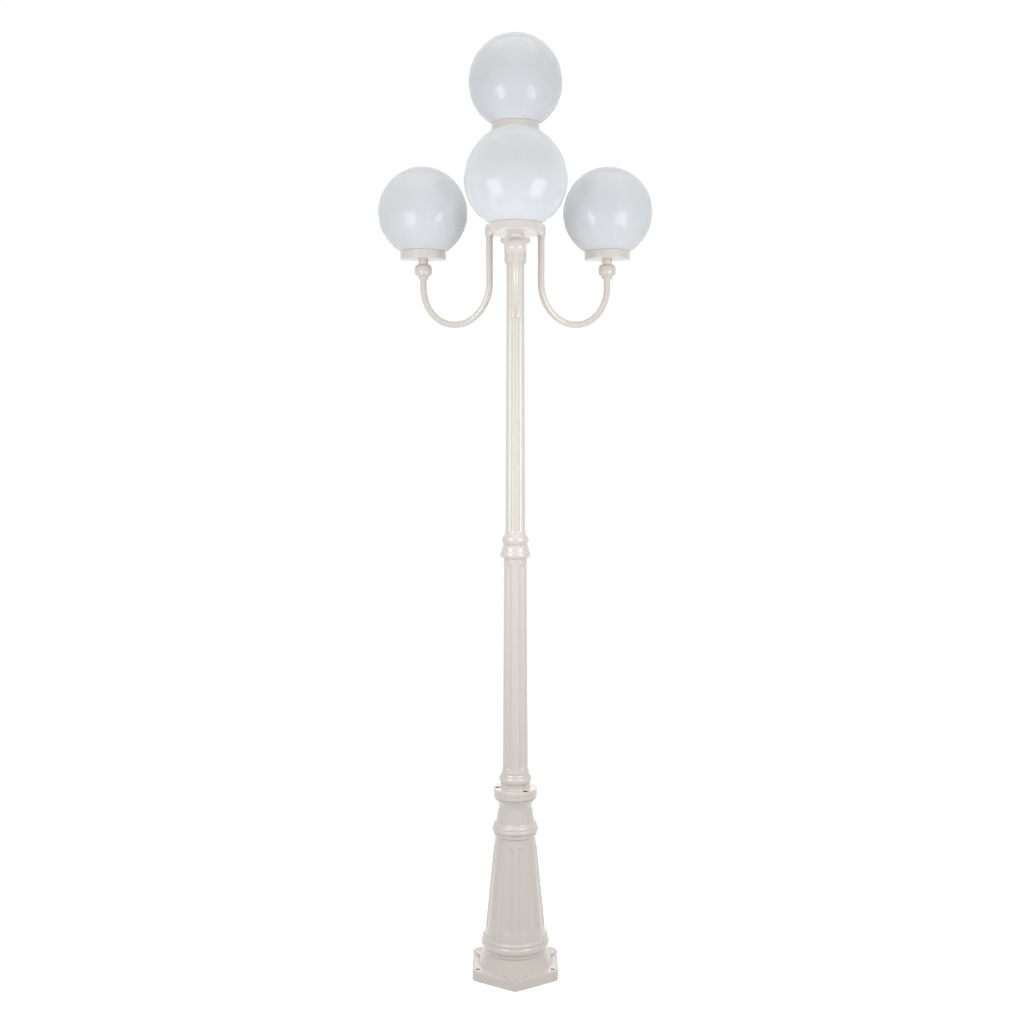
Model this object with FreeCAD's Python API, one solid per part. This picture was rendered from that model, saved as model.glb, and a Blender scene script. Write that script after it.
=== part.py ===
import FreeCAD, Part
import math
import os

# Four globe lamp post, in millimetres. Z is up and the ground is z = 0. The post
# stands on the Z axis, its front faces -Y, and each radius is measured from that axis.

# Fits and finishes
SLIP = 0.15            # radial clearance of a spigot, tube or screw in its hole
REST = 0.3             # clearance of a piece that lifts out, above its seat
SEAM = 0.6             # broken edge where two castings meet

# Hexagonal foot plate, with one corner to the front
FOOT_CORNER_R = 135.4
FOOT_T = 28.0
FOOT_CORNER_ROUND = 20.0
FOOT_EDGE_ROUND = 6.0
FOOT_BORE_R = 78.0
ANCHOR_COUNT = 3
ANCHOR_TURN = -30.0    # angle of the first anchor hole from +X, seen from above
ANCHOR_PCD = 235.0
ANCHOR_HOLE_D = 11.0
GUSSET_COUNT = 3
GUSSET_TURN = -90.0    # angle of the first gusset from +X, seen from above
GUSSET_ROOT_W = 63.0
GUSSET_TIP_W = 22.0
GUSSET_ROOT_RISE = 5.0
GUSSET_TIP_RISE = 0.5

# Pedestal: skirt, lower mouldings, fluted taper, upper mouldings, neck, flange. A swell
# is how far the middle of a moulding's arc stands out from its chord.
SKIRT_FOOT_R = 101.0
SKIRT_TOP_R = 86.0
SKIRT_H = 37.5
LOW_FILLET_TOP_R = 87.5
LOW_FILLET_H = 8.0
LOW_FILLET_SWELL = 2.4
LOW_BEAD_R = 90.5
LOW_BEAD_H = 25.0
LOW_BEAD_SWELL = 3.4
LOW_COVE_H = 16.0
LOW_COVE_SWELL = -1.3
TAPER_FOOT_R = 82.6
TAPER_TOP_R = 56.2
TAPER_H = 268.5
HIGH_FILLET_TOP_R = 57.3
HIGH_FILLET_H = 8.2
HIGH_FILLET_SWELL = 3.0
HIGH_BEAD_TOP_R = 61.1
HIGH_BEAD_H = 17.6
HIGH_BEAD_SWELL = 4.4
HIGH_OVOLO_TOP_R = 55.1
HIGH_OVOLO_H = 12.0
HIGH_OVOLO_SWELL = 1.7
FLARE_H = 7.2
FLARE_SWELL = -0.6
NECK_FOOT_R = 52.8
NECK_TOP_R = 45.4
NECK_H = 38.0
CAVETTO_R = 56.0
CAVETTO_H = 20.5
CAVETTO_SWELL = -0.8
LEDGE_R = 57.5
LEDGE_H = 5.5
FLANGE_R = 60.0
FLANGE_BREAK = 1.5     # chamfer of the pedestal flange's upper edge
PEDESTAL_FLANGE_T = 11.5
CAST_WALL = 6.0
NECK_BORE_R = 38.0
PEDESTAL_FLUTES = 12
PEDESTAL_FLUTE_DEPTH = 4.0
PEDESTAL_FLUTE_FOOT_W = 29.0
PEDESTAL_FLUTE_TOP_W = 20.5
PEDESTAL_FLUTE_FOOT_GAP = 2.5
PEDESTAL_FLUTE_TOP_GAP = 12.0

# Lower shaft: foot flange, foot mouldings, fluted taper
SHAFT_FLANGE_T = 12.5
SHAFT_FLANGE_ROUND = 3.0
SHAFT_SPIGOT_H = 12.0
BOSS_R = 44.0
BOSS_H = 3.0
BOSS_SWELL = -0.8
WAIST_R = 40.0
WAIST_H = 10.0
FOOT_BEAD_TOP_R = 41.5
FOOT_BEAD_H = 21.0
FOOT_BEAD_SWELL = 4.3
FOOT_SWEEP_H = 10.5
FOOT_SWEEP_SWELL = -0.5
LISTEL_FOOT_R = 38.2
LISTEL_R = 37.4
LISTEL_H = 6.0
LISTEL_SWELL = 1.4
LOWER_FOOT_R = 35.8
LOWER_TOP_R = 31.6
LOWER_H = 578.0
LOWER_TENON_H = 28.0
LOWER_BORE_R = 24.0
LOWER_FLUTE_W = 15.0
LOWER_FLUTE_DEPTH = 3.0
LOWER_FLUTE_FOOT_GAP = 3.5
LOWER_FLUTE_TOP_GAP = 10.0
SHAFT_FLUTES = 6
THREAD_H = 44.0
THREAD_LEAD = 6.0      # cone that leads from the bore to the thread

# Flange bolts: socket screws sunk into the foot flange
BOLT_COUNT = 3
BOLT_PCD = 97.4
BOLT_TURN = -56.0      # angle of the first bolt from +X, seen from above
BOLT_D = 8.0
BOLT_LENGTH = 16.0
BOLT_HEAD_D = 13.0
BOLT_HEAD_H = 5.0
BOLT_KEY = 5.0
BOLT_KEY_DEPTH = 3.0
BOLT_SINK = 3.0

# Bell collar between the shafts: lip, shoulder, a fine step and a crown
COLLAR_RIM_R = 38.9
COLLAR_LIP_H = 16.0
COLLAR_LIP_SWELL = 2.7
COLLAR_SHOULDER_R = 38.2
COLLAR_STEP_R = 37.7
COLLAR_STEP_H = 5.0
COLLAR_STEP = 0.8
COLLAR_CROWN_R = 32.8
COLLAR_CROWN_SWELL = 0.9
COLLAR_H = 35.0
COLLAR_CAP_T = 12.0
COLLAR_BREAK = 1.5

# Upper shaft: foot bead and fluted taper
UPPER_QUIRK_R = 31.8
UPPER_BEAD_TOP_R = 33.9
UPPER_BEAD_H = 22.0
UPPER_BEAD_SWELL = 3.4
UPPER_SWEEP_H = 10.0
UPPER_SWEEP_SWELL = -0.6
UPPER_FOOT_R = 27.4
UPPER_TOP_R = 24.1
UPPER_H = 719.0
UPPER_TENON_H = 42.0
UPPER_BORE_R = 15.5
UPPER_SPIGOT_R = 20.0
UPPER_SPIGOT_GAP = 2.0 # below the spigot, in the lower shaft's thread
UPPER_FLUTE_W = 12.0
UPPER_FLUTE_DEPTH = 2.4
UPPER_FLUTE_FOOT_GAP = 2.0
UPPER_FLUTE_OVERRUN = 14.0

# Arm hub: sleeve, bowl, spokes and sockets
HUB_SLEEVE_FOOT_R = 29.2
HUB_SLEEVE_TOP_R = 30.2
HUB_FLOOR_T = 8.5
HUB_ROOF_T = 6.0       # below the stem's socket
HUB_BOWL_R = 40.4
HUB_BOWL_H = 9.5
HUB_BOWL_SWELL = 2.7
HUB_CROWN_R = 31.0
HUB_CROWN_H = 12.0
HUB_CROWN_SWELL = 2.6
HUB_BODY_R = 27.0
HUB_BODY_H = 44.0
HUB_BODY_ROUND = 6.0
HUB_BOSS_R = 15.0
HUB_BOSS_H = 12.0
HUB_WELL_R = 14.0
STEM_SOCKET_DEPTH = 22.0
SPOKE_D = 18.0
SPOKE_RISE = 47.5      # spoke axis above the bowl's lower edge
WIRE_HOLE_D = 8.0
KNOB_MOUTH_R = 10.8
KNOB_R = 11.0
KNOB_SWELL = 1.1
KNOB_DROP = 22.0
KNOB_RISE = 3.0        # of the crown's foot above the spoke axis
ARM_SOCKET_DEPTH = 14.0
GRUB_D = 6.0
GRUB_RISE = 26.0       # grub screws above the sleeve's lower edge

# Arms and top stem, all of one tube
ARM_SIDES = ("front", "right", "left")
ARM_COUNT = len(ARM_SIDES)
ARM_TURN = -90.0       # angle of the first arm from +X, seen from above
ARM_REACH = 295.5
ARM_BEND_R = 107.5
ARM_INNER_LEG = 136.0
ARM_OUTER_LEG = 43.5
TUBE_D = 18.0
TUBE_WALL = 2.0
STEM_LENGTH = 202.0

# Coupling under each fitter
COUPLING_NECK_R = 13.8
COUPLING_NECK_H = 11.0
COUPLING_BALL_R = 24.5
COUPLING_BALL_H = 33.5
COUPLING_BALL_SWELL = 2.0
COUPLING_BAND_H = 14.0
COUPLING_RING_R = 14.4
COUPLING_RING_H = 6.5
COUPLING_SOCKET_DEPTH = 20.0

# Fitter, gasket and globe
GLOBE_D = 250.0
GLOBE_WALL = 2.5
FITTER_D = 128.5
FITTER_H = 22.7
FITTER_WALL = 3.5
FITTER_FLOOR_T = 4.0
FITTER_EDGE_ROUND = 4.0
FITTER_LEAD_IN = 2.6
RIM_GAP = 1.0          # globe above the fitter's rim
NECK_GAP = 0.5         # globe neck inside the fitter's wall
GASKET_T = 2.0
GASKET_W = 6.0

# Nipple, lock nut, lampholder, contact sleeve
NIPPLE_D = 10.0
NIPPLE_BORE_D = 7.0
NIPPLE_INSET = 19.0    # depth in the coupling
NUT_ACROSS = 17.0
NUT_T = 5.0
HOLDER_BOSS_R = 10.0
HOLDER_BOSS_H = 10.0
HOLDER_R = 20.5
HOLDER_H = 46.0
HOLDER_EDGE = 2.0
HOLDER_ENTRY_DEPTH = 9.0
SHELL_WALL = 0.6
SHELL_FLOOR_T = 1.0
SHELL_H = 25.0

# Lamp: screw cap and pear-shaped bulb
LAMP_CAP_D = 26.2
LAMP_CAP_H = 27.0
LAMP_TIP_D = 11.0
LAMP_TIP_H = 3.5
LAMP_SHOULDER = 1.0
LAMP_THREAD_GAP = 0.4
LAMP_SEAT_DEPTH = 8.0
BULB_D = 60.0
BULB_H = 81.0
BULB_NECK_D = 23.0
BULB_WALL = 1.2
BULB_HIP = 30.0        # degrees below the ball's middle where the flank starts
BULB_THROAT_H = 4.0
BULB_FLANK_SWELL = -1.4

# Heights that follow from the sizes above, from the ground up
SKIRT_TOP = FOOT_T + SKIRT_H
LOW_BEAD_Z = SKIRT_TOP + LOW_FILLET_H
LOW_COVE_Z = LOW_BEAD_Z + LOW_BEAD_H
TAPER_Z = LOW_COVE_Z + LOW_COVE_H
TAPER_TOP = TAPER_Z + TAPER_H
HIGH_BEAD_Z = TAPER_TOP + HIGH_FILLET_H
HIGH_OVOLO_Z = HIGH_BEAD_Z + HIGH_BEAD_H
FLARE_Z = HIGH_OVOLO_Z + HIGH_OVOLO_H
NECK_Z = FLARE_Z + FLARE_H
NECK_TOP = NECK_Z + NECK_H
LEDGE_Z = NECK_TOP + CAVETTO_H
FLANGE_Z = LEDGE_Z + LEDGE_H
PEDESTAL_TOP = FLANGE_Z + PEDESTAL_FLANGE_T
SHAFT_FLANGE_TOP = PEDESTAL_TOP + SHAFT_FLANGE_T
WAIST_Z = SHAFT_FLANGE_TOP + BOSS_H
FOOT_BEAD_Z = WAIST_Z + WAIST_H
FOOT_SWEEP_Z = FOOT_BEAD_Z + FOOT_BEAD_H
LISTEL_Z = FOOT_SWEEP_Z + FOOT_SWEEP_H
LOWER_Z = LISTEL_Z + LISTEL_H
LOWER_TOP = LOWER_Z + LOWER_H
TENON_TOP = LOWER_TOP + LOWER_TENON_H
COLLAR_TOP = TENON_TOP + COLLAR_CAP_T
COLLAR_Z = COLLAR_TOP - COLLAR_H
UPPER_SWEEP_Z = COLLAR_TOP + UPPER_BEAD_H
UPPER_Z = UPPER_SWEEP_Z + UPPER_SWEEP_H
SLEEVE_Z = UPPER_Z + UPPER_H
UPPER_TOP = SLEEVE_Z + UPPER_TENON_H
BOWL_Z = UPPER_TOP + HUB_FLOOR_T
HUB_CROWN_Z = BOWL_Z + HUB_BOWL_H
HUB_BODY_Z = HUB_CROWN_Z + HUB_CROWN_H
HUB_BODY_TOP = HUB_BODY_Z + HUB_BODY_H
HUB_TOP = HUB_BODY_TOP + HUB_BOSS_H
STEM_Z = HUB_TOP - STEM_SOCKET_DEPTH
SPOKE_Z = BOWL_Z + SPOKE_RISE
KNOB_Z = SPOKE_Z - KNOB_DROP
ARM_TOP = KNOB_Z + ARM_SOCKET_DEPTH
BEND_Z = ARM_TOP - ARM_INNER_LEG
ARM_END = BEND_Z + ARM_OUTER_LEG
STEM_END = STEM_Z + STEM_LENGTH
INNER_LEG_R = ARM_REACH - 2 * ARM_BEND_R

# Heights in one lamp head, from the coupling's lower edge
BALL_Z = COUPLING_RING_H
COUPLING_NECK_Z = BALL_Z + COUPLING_BALL_H
FITTER_Z = COUPLING_NECK_Z + COUPLING_NECK_H
FITTER_FLOOR = FITTER_Z + FITTER_FLOOR_T
FITTER_RIM = FITTER_Z + FITTER_H
GLOBE_Z = FITTER_RIM + RIM_GAP + math.sqrt((GLOBE_D / 2) ** 2 - (FITTER_D / 2) ** 2)
GASKET_TOP = FITTER_FLOOR + GASKET_T
NUT_TOP = FITTER_FLOOR + NUT_T
HOLDER_TOP = NUT_TOP + HOLDER_H
SHELL_Z = HOLDER_TOP - SHELL_H - HOLDER_EDGE
LAMP_Z = SHELL_Z + SHELL_FLOOR_T + REST
CAP_TOP = LAMP_Z + LAMP_CAP_H
FITTER_BORE_R = FITTER_D / 2 - FITTER_WALL
SHELL_R = LAMP_CAP_D / 2 + LAMP_THREAD_GAP + SHELL_WALL

# Height of a quarter round's middle over its chord, for a radius of one
QUARTER_SWELL = 1 - math.sqrt(0.5)

X_AXIS = FreeCAD.Vector(1, 0, 0)
Y_AXIS = FreeCAD.Vector(0, 1, 0)
Z_AXIS = FreeCAD.Vector(0, 0, 1)
ORIGIN = FreeCAD.Vector(0, 0, 0)


def flat(r, z):
    """A point of an outline: radius along X, height along Z."""
    return FreeCAD.Vector(r, 0, z)


def outline(start, *steps):
    """Closed wire of lines and arcs.

    A step (r, z) is a line. A step ((r, z), swell) is an arc whose middle stands out that far
    to the right of its way, or to the left where the swell is below zero. A step
    ((r, z), (r, z)) is an arc through its first point.
    """
    edges = []
    here = flat(*start)
    for step in steps + (start,):
        if not isinstance(step[0], tuple):
            there = flat(*step)
            if here.distanceToPoint(there) > 1e-6:
                edges.append(Part.LineSegment(here, there).toShape())
        else:
            if isinstance(step[1], tuple):
                middle, there = flat(*step[0]), flat(*step[1])
            else:
                there = flat(*step[0])
                chord = there - here
                right = FreeCAD.Vector(chord.z, 0, -chord.x).normalize()
                middle = (here + there) * 0.5 + right * step[1]
            edges.append(Part.Arc(here, middle, there).toShape())
        here = there
    return Part.Wire(edges)


def turned(start, *steps):
    """Solid of revolution of an outline about the Z axis."""
    return Part.Face(outline(start, *steps)).revolve(ORIGIN, Z_AXIS, 360)


def rod(radius, height, base=ORIGIN, direction=Z_AXIS):
    """Cylinder that starts at base."""
    return Part.makeCylinder(radius, height, base, direction)


def tube(outer_r, inner_r, z_low, z_high):
    """Straight tube on the Z axis."""
    return turned((inner_r, z_low), (outer_r, z_low), (outer_r, z_high), (inner_r, z_high))


def around(shape, count, first=0.0):
    """Copies of a shape, spaced evenly about the Z axis."""
    copies = []
    for k in range(count):
        copy = shape.copy()
        copy.rotate(ORIGIN, Z_AXIS, first + 360.0 * k / count)
        copies.append(copy)
    return copies


def moved(shape, x, y, z):
    """Copy of a shape, moved."""
    copy = shape.copy()
    copy.translate(FreeCAD.Vector(x, y, z))
    return copy


def hexagon(corner_r):
    """Hexagonal wire on the ground, with a corner on -Y."""
    turns = [math.radians(60 * k - 90) for k in range(7)]
    corners = [FreeCAD.Vector(corner_r * math.cos(t), corner_r * math.sin(t), 0) for t in turns]
    return Part.makePolygon(corners)


def flute_radius(body_r, width, depth):
    """Radius of the round cutter that leaves a flute of this width and depth."""
    below_chord = depth - body_r + math.sqrt(body_r ** 2 - (width / 2) ** 2)
    return ((width / 2) ** 2 + below_chord ** 2) / (2 * below_chord)


def flute_cutter(low, high):
    """Round-ended tapered cutter.

    Each end is (body radius, height of the flute's tip, width, depth): the tip is where the
    rounded end runs out on the body.
    """
    balls = []
    for (body_r, tip_z, width, depth), way in ((low, 1), (high, -1)):
        ball_r = flute_radius(body_r, width, depth)
        run_out = math.sqrt(2 * ball_r * depth - depth ** 2)
        balls.append((ball_r, body_r - depth + ball_r, tip_z + way * run_out))
    (r0, x0, z0), (r1, x1, z1) = balls
    length = math.hypot(x1 - x0, z1 - z0)
    lean = math.asin((r0 - r1) / length)
    side = math.cos(lean)
    rise = math.sin(lean)
    half = math.radians(45) + lean / 2
    cutter = turned(
        (0, -r0),
        ((r0 * math.sin(half), -r0 * math.cos(half)), (r0 * side, r0 * rise)),
        (r1 * side, length + r1 * rise),
        ((r1 * math.cos(half), length + r1 * math.sin(half)), (0, length + r1)),
    )
    cutter.rotate(ORIGIN, Y_AXIS, math.degrees(math.atan2(x1 - x0, z1 - z0)))
    return moved(cutter, x0, 0, z0)


def foot_plate():
    """Hexagonal plate with rounded corners and edges, and a gusset at every second corner."""
    prism = Part.Face(hexagon(FOOT_CORNER_R)).extrude(FreeCAD.Vector(0, 0, FOOT_T + SKIRT_H))
    upright = [e for e in prism.Edges if abs(e.tangentAt(e.FirstParameter).z) > 0.9]
    prism = prism.makeFillet(FOOT_CORNER_ROUND, upright)
    slab = Part.makeBox(4 * FOOT_CORNER_R, 4 * FOOT_CORNER_R, FOOT_T)
    plate = prism.common(moved(slab, -2 * FOOT_CORNER_R, -2 * FOOT_CORNER_R, 0))
    rim = [e for e in plate.Edges if e.BoundBox.ZMin > FOOT_T - 0.01]
    plate = plate.makeFillet(FOOT_EDGE_ROUND, rim)
    return plate.fuse(around(gusset_wedge(), GUSSET_COUNT, GUSSET_TURN))


def gusset_wedge():
    """Wedge along +X that falls and narrows from the skirt to the plate's rounded corner."""
    low = FOOT_T - FOOT_EDGE_ROUND
    corner_r = FOOT_CORNER_R - FOOT_CORNER_ROUND * (1 / math.cos(math.radians(30)) - 1)
    tip_r = corner_r - FOOT_EDGE_ROUND
    root_top = FOOT_T + GUSSET_ROOT_RISE
    tip_top = FOOT_T + GUSSET_TIP_RISE
    fall = (root_top - tip_top) / (tip_r - SKIRT_FOOT_R)
    inner_r = SKIRT_TOP_R
    inner_top = root_top + fall * (SKIRT_FOOT_R - inner_r)
    side = outline((inner_r, low), (tip_r, low), (tip_r, tip_top), (inner_r, inner_top))
    wedge = Part.Face(side).extrude(FreeCAD.Vector(0, GUSSET_ROOT_W, 0))
    wedge = moved(wedge, 0, -GUSSET_ROOT_W / 2, 0)
    plan = [(inner_r, GUSSET_ROOT_W / 2), (SKIRT_FOOT_R, GUSSET_ROOT_W / 2), (tip_r, GUSSET_TIP_W / 2)]
    plan = plan + [(x, -y) for x, y in reversed(plan)]
    corners = [FreeCAD.Vector(x, y, 0) for x, y in plan + plan[:1]]
    prism = Part.Face(Part.makePolygon(corners)).extrude(FreeCAD.Vector(0, 0, FOOT_T + SKIRT_H))
    return wedge.common(prism)


def base_pedestal():
    """Cast pedestal: hexagonal foot, mouldings, fluted taper, neck and top flange."""
    body = turned(
        (0, FOOT_T / 2),
        (SKIRT_FOOT_R, FOOT_T / 2),
        (SKIRT_FOOT_R, FOOT_T),
        (SKIRT_TOP_R, SKIRT_TOP),
        ((LOW_FILLET_TOP_R, LOW_BEAD_Z), LOW_FILLET_SWELL),
        (LOW_BEAD_R, LOW_BEAD_Z),
        ((LOW_BEAD_R, LOW_COVE_Z), LOW_BEAD_SWELL),
        ((TAPER_FOOT_R, TAPER_Z), LOW_COVE_SWELL),
        (TAPER_TOP_R, TAPER_TOP),
        ((HIGH_FILLET_TOP_R, HIGH_BEAD_Z), HIGH_FILLET_SWELL),
        ((HIGH_BEAD_TOP_R, HIGH_OVOLO_Z), HIGH_BEAD_SWELL),
        ((HIGH_OVOLO_TOP_R, FLARE_Z), HIGH_OVOLO_SWELL),
        ((NECK_FOOT_R, NECK_Z), FLARE_SWELL),
        (NECK_TOP_R, NECK_TOP),
        ((CAVETTO_R, LEDGE_Z), CAVETTO_SWELL),
        (LEDGE_R, LEDGE_Z),
        (LEDGE_R, FLANGE_Z),
        (FLANGE_R, FLANGE_Z),
        (FLANGE_R, PEDESTAL_TOP - FLANGE_BREAK),
        (FLANGE_R - FLANGE_BREAK, PEDESTAL_TOP),
        (0, PEDESTAL_TOP),
    )
    hollow = turned(
        (0, -1),
        (FOOT_BORE_R, -1),
        (FOOT_BORE_R, SKIRT_TOP),
        (TAPER_FOOT_R - PEDESTAL_FLUTE_DEPTH - CAST_WALL, TAPER_Z),
        (TAPER_TOP_R - PEDESTAL_FLUTE_DEPTH - CAST_WALL, TAPER_TOP),
        (NECK_BORE_R, NECK_Z),
        (NECK_BORE_R, PEDESTAL_TOP + 1),
        (0, PEDESTAL_TOP + 1),
    )
    flute = flute_cutter(
        (TAPER_FOOT_R, TAPER_Z + PEDESTAL_FLUTE_FOOT_GAP, PEDESTAL_FLUTE_FOOT_W, PEDESTAL_FLUTE_DEPTH),
        (TAPER_TOP_R, TAPER_TOP - PEDESTAL_FLUTE_TOP_GAP, PEDESTAL_FLUTE_TOP_W, PEDESTAL_FLUTE_DEPTH),
    )
    anchor = rod(ANCHOR_HOLE_D / 2, FOOT_T + 2, FreeCAD.Vector(ANCHOR_PCD / 2, 0, -1))
    tapped_z = PEDESTAL_TOP - bolt_grip() - 1
    tapped = rod(BOLT_D / 2 + SLIP, bolt_grip() + 1, FreeCAD.Vector(BOLT_PCD / 2, 0, tapped_z))
    cutters = around(flute, PEDESTAL_FLUTES, 180.0 / PEDESTAL_FLUTES - 90)
    cutters += around(anchor, ANCHOR_COUNT, ANCHOR_TURN)
    cutters += around(tapped, BOLT_COUNT, BOLT_TURN)
    return foot_plate().fuse(body).cut([hollow] + cutters).removeSplitter()


def bolt_grip():
    """How far a flange bolt reaches into the pedestal."""
    return BOLT_LENGTH - (SHAFT_FLANGE_T - BOLT_HEAD_H - BOLT_SINK)


def flange_bolts():
    """Three socket screws, as one group of solids."""
    seat = SHAFT_FLANGE_TOP - BOLT_SINK - BOLT_HEAD_H
    shank = rod(BOLT_D / 2, BOLT_LENGTH, FreeCAD.Vector(0, 0, seat - BOLT_LENGTH))
    head = rod(BOLT_HEAD_D / 2, BOLT_HEAD_H, FreeCAD.Vector(0, 0, seat))
    key = Part.Face(hexagon(BOLT_KEY / math.sqrt(3))).extrude(FreeCAD.Vector(0, 0, BOLT_KEY_DEPTH + 1))
    key = moved(key, 0, 0, seat + BOLT_HEAD_H - BOLT_KEY_DEPTH)
    bolt = shank.fuse(head).cut(key).removeSplitter()
    return Part.Compound(around(moved(bolt, BOLT_PCD / 2, 0, 0), BOLT_COUNT, BOLT_TURN))


def lower_shaft():
    """Fluted lower shaft with its foot flange, mouldings and a tenon for the collar."""
    body = turned(
        (LOWER_BORE_R, PEDESTAL_TOP - SHAFT_SPIGOT_H),
        (NECK_BORE_R - SLIP, PEDESTAL_TOP - SHAFT_SPIGOT_H),
        (NECK_BORE_R - SLIP, PEDESTAL_TOP),
        (FLANGE_R - SEAM, PEDESTAL_TOP),
        (FLANGE_R, PEDESTAL_TOP + SEAM),
        (FLANGE_R, SHAFT_FLANGE_TOP - SHAFT_FLANGE_ROUND),
        ((FLANGE_R - SHAFT_FLANGE_ROUND, SHAFT_FLANGE_TOP), SHAFT_FLANGE_ROUND * QUARTER_SWELL),
        (BOSS_R, SHAFT_FLANGE_TOP),
        ((WAIST_R, WAIST_Z), BOSS_SWELL),
        (WAIST_R, FOOT_BEAD_Z),
        ((FOOT_BEAD_TOP_R, FOOT_SWEEP_Z), FOOT_BEAD_SWELL),
        (WAIST_R, FOOT_SWEEP_Z),
        ((LISTEL_R, LISTEL_Z), FOOT_SWEEP_SWELL),
        (LISTEL_FOOT_R, LISTEL_Z),
        ((LISTEL_R, LOWER_Z), LISTEL_SWELL),
        (LOWER_FOOT_R, LOWER_Z),
        (LOWER_TOP_R, LOWER_TOP),
        (LOWER_TOP_R, TENON_TOP),
        (UPPER_SPIGOT_R + SLIP, TENON_TOP),
        (UPPER_SPIGOT_R + SLIP, TENON_TOP - THREAD_H),
        (LOWER_BORE_R, TENON_TOP - THREAD_H - THREAD_LEAD),
    )
    flute = flute_cutter(
        (LOWER_FOOT_R, LOWER_Z + LOWER_FLUTE_FOOT_GAP, LOWER_FLUTE_W, LOWER_FLUTE_DEPTH),
        (LOWER_TOP_R, LOWER_TOP - LOWER_FLUTE_TOP_GAP, LOWER_FLUTE_W, LOWER_FLUTE_DEPTH),
    )
    seat = SHAFT_FLANGE_TOP - BOLT_SINK - BOLT_HEAD_H
    sink_h = BOLT_SINK + BOLT_HEAD_H + BOSS_H
    sink = rod(BOLT_HEAD_D / 2 + SLIP, sink_h, FreeCAD.Vector(BOLT_PCD / 2, 0, seat))
    hole = rod(BOLT_D / 2 + SLIP, SHAFT_FLANGE_T, FreeCAD.Vector(BOLT_PCD / 2, 0, PEDESTAL_TOP - 1))
    cutters = around(flute, SHAFT_FLUTES, 180.0 / SHAFT_FLUTES - 90)
    cutters += around(sink, BOLT_COUNT, BOLT_TURN)
    cutters += around(hole, BOLT_COUNT, BOLT_TURN)
    return body.cut(cutters).removeSplitter()


def shaft_collar():
    """Bell collar: its cap rests on the lower shaft's tenon and carries the upper shaft."""
    bore = LOWER_TOP_R + SLIP
    shoulder_z = COLLAR_Z + COLLAR_LIP_H
    step_z = shoulder_z + COLLAR_STEP_H
    return turned(
        (bore, COLLAR_Z),
        (COLLAR_RIM_R, COLLAR_Z),
        ((COLLAR_SHOULDER_R, shoulder_z), COLLAR_LIP_SWELL),
        (COLLAR_STEP_R, step_z),
        (COLLAR_STEP_R - COLLAR_STEP, step_z + COLLAR_STEP),
        ((COLLAR_CROWN_R, COLLAR_TOP - COLLAR_BREAK), COLLAR_CROWN_SWELL),
        (COLLAR_CROWN_R - COLLAR_BREAK, COLLAR_TOP),
        (UPPER_SPIGOT_R + SLIP, COLLAR_TOP),
        (UPPER_SPIGOT_R + SLIP, TENON_TOP),
        (bore, TENON_TOP),
    )


def upper_shaft():
    """Fluted upper shaft: a screwed spigot below, a foot bead, and a tenon for the hub."""
    spigot_z = TENON_TOP - THREAD_H + UPPER_SPIGOT_GAP
    body = turned(
        (UPPER_BORE_R, spigot_z),
        (UPPER_SPIGOT_R, spigot_z),
        (UPPER_SPIGOT_R, COLLAR_TOP),
        (UPPER_QUIRK_R, COLLAR_TOP),
        ((UPPER_BEAD_TOP_R, UPPER_SWEEP_Z), UPPER_BEAD_SWELL),
        ((UPPER_FOOT_R, UPPER_Z), UPPER_SWEEP_SWELL),
        (UPPER_TOP_R, SLEEVE_Z),
        (UPPER_TOP_R, UPPER_TOP),
        (UPPER_BORE_R, UPPER_TOP),
    )
    flute = flute_cutter(
        (UPPER_FOOT_R, UPPER_Z + UPPER_FLUTE_FOOT_GAP, UPPER_FLUTE_W, UPPER_FLUTE_DEPTH),
        (UPPER_TOP_R, SLEEVE_Z + UPPER_FLUTE_OVERRUN, UPPER_FLUTE_W, UPPER_FLUTE_DEPTH),
    )
    return body.cut(around(flute, SHAFT_FLUTES, 180.0 / SHAFT_FLUTES - 90)).removeSplitter()


def knob():
    """Turned socket at a spoke's end, on the Z axis, with a domed crown."""
    crown_z = SPOKE_Z + KNOB_RISE
    return turned(
        (0, KNOB_Z),
        (KNOB_MOUTH_R, KNOB_Z),
        ((KNOB_R, crown_z), KNOB_SWELL),
        ((0, crown_z + KNOB_R), KNOB_R * QUARTER_SWELL),
    )


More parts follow.
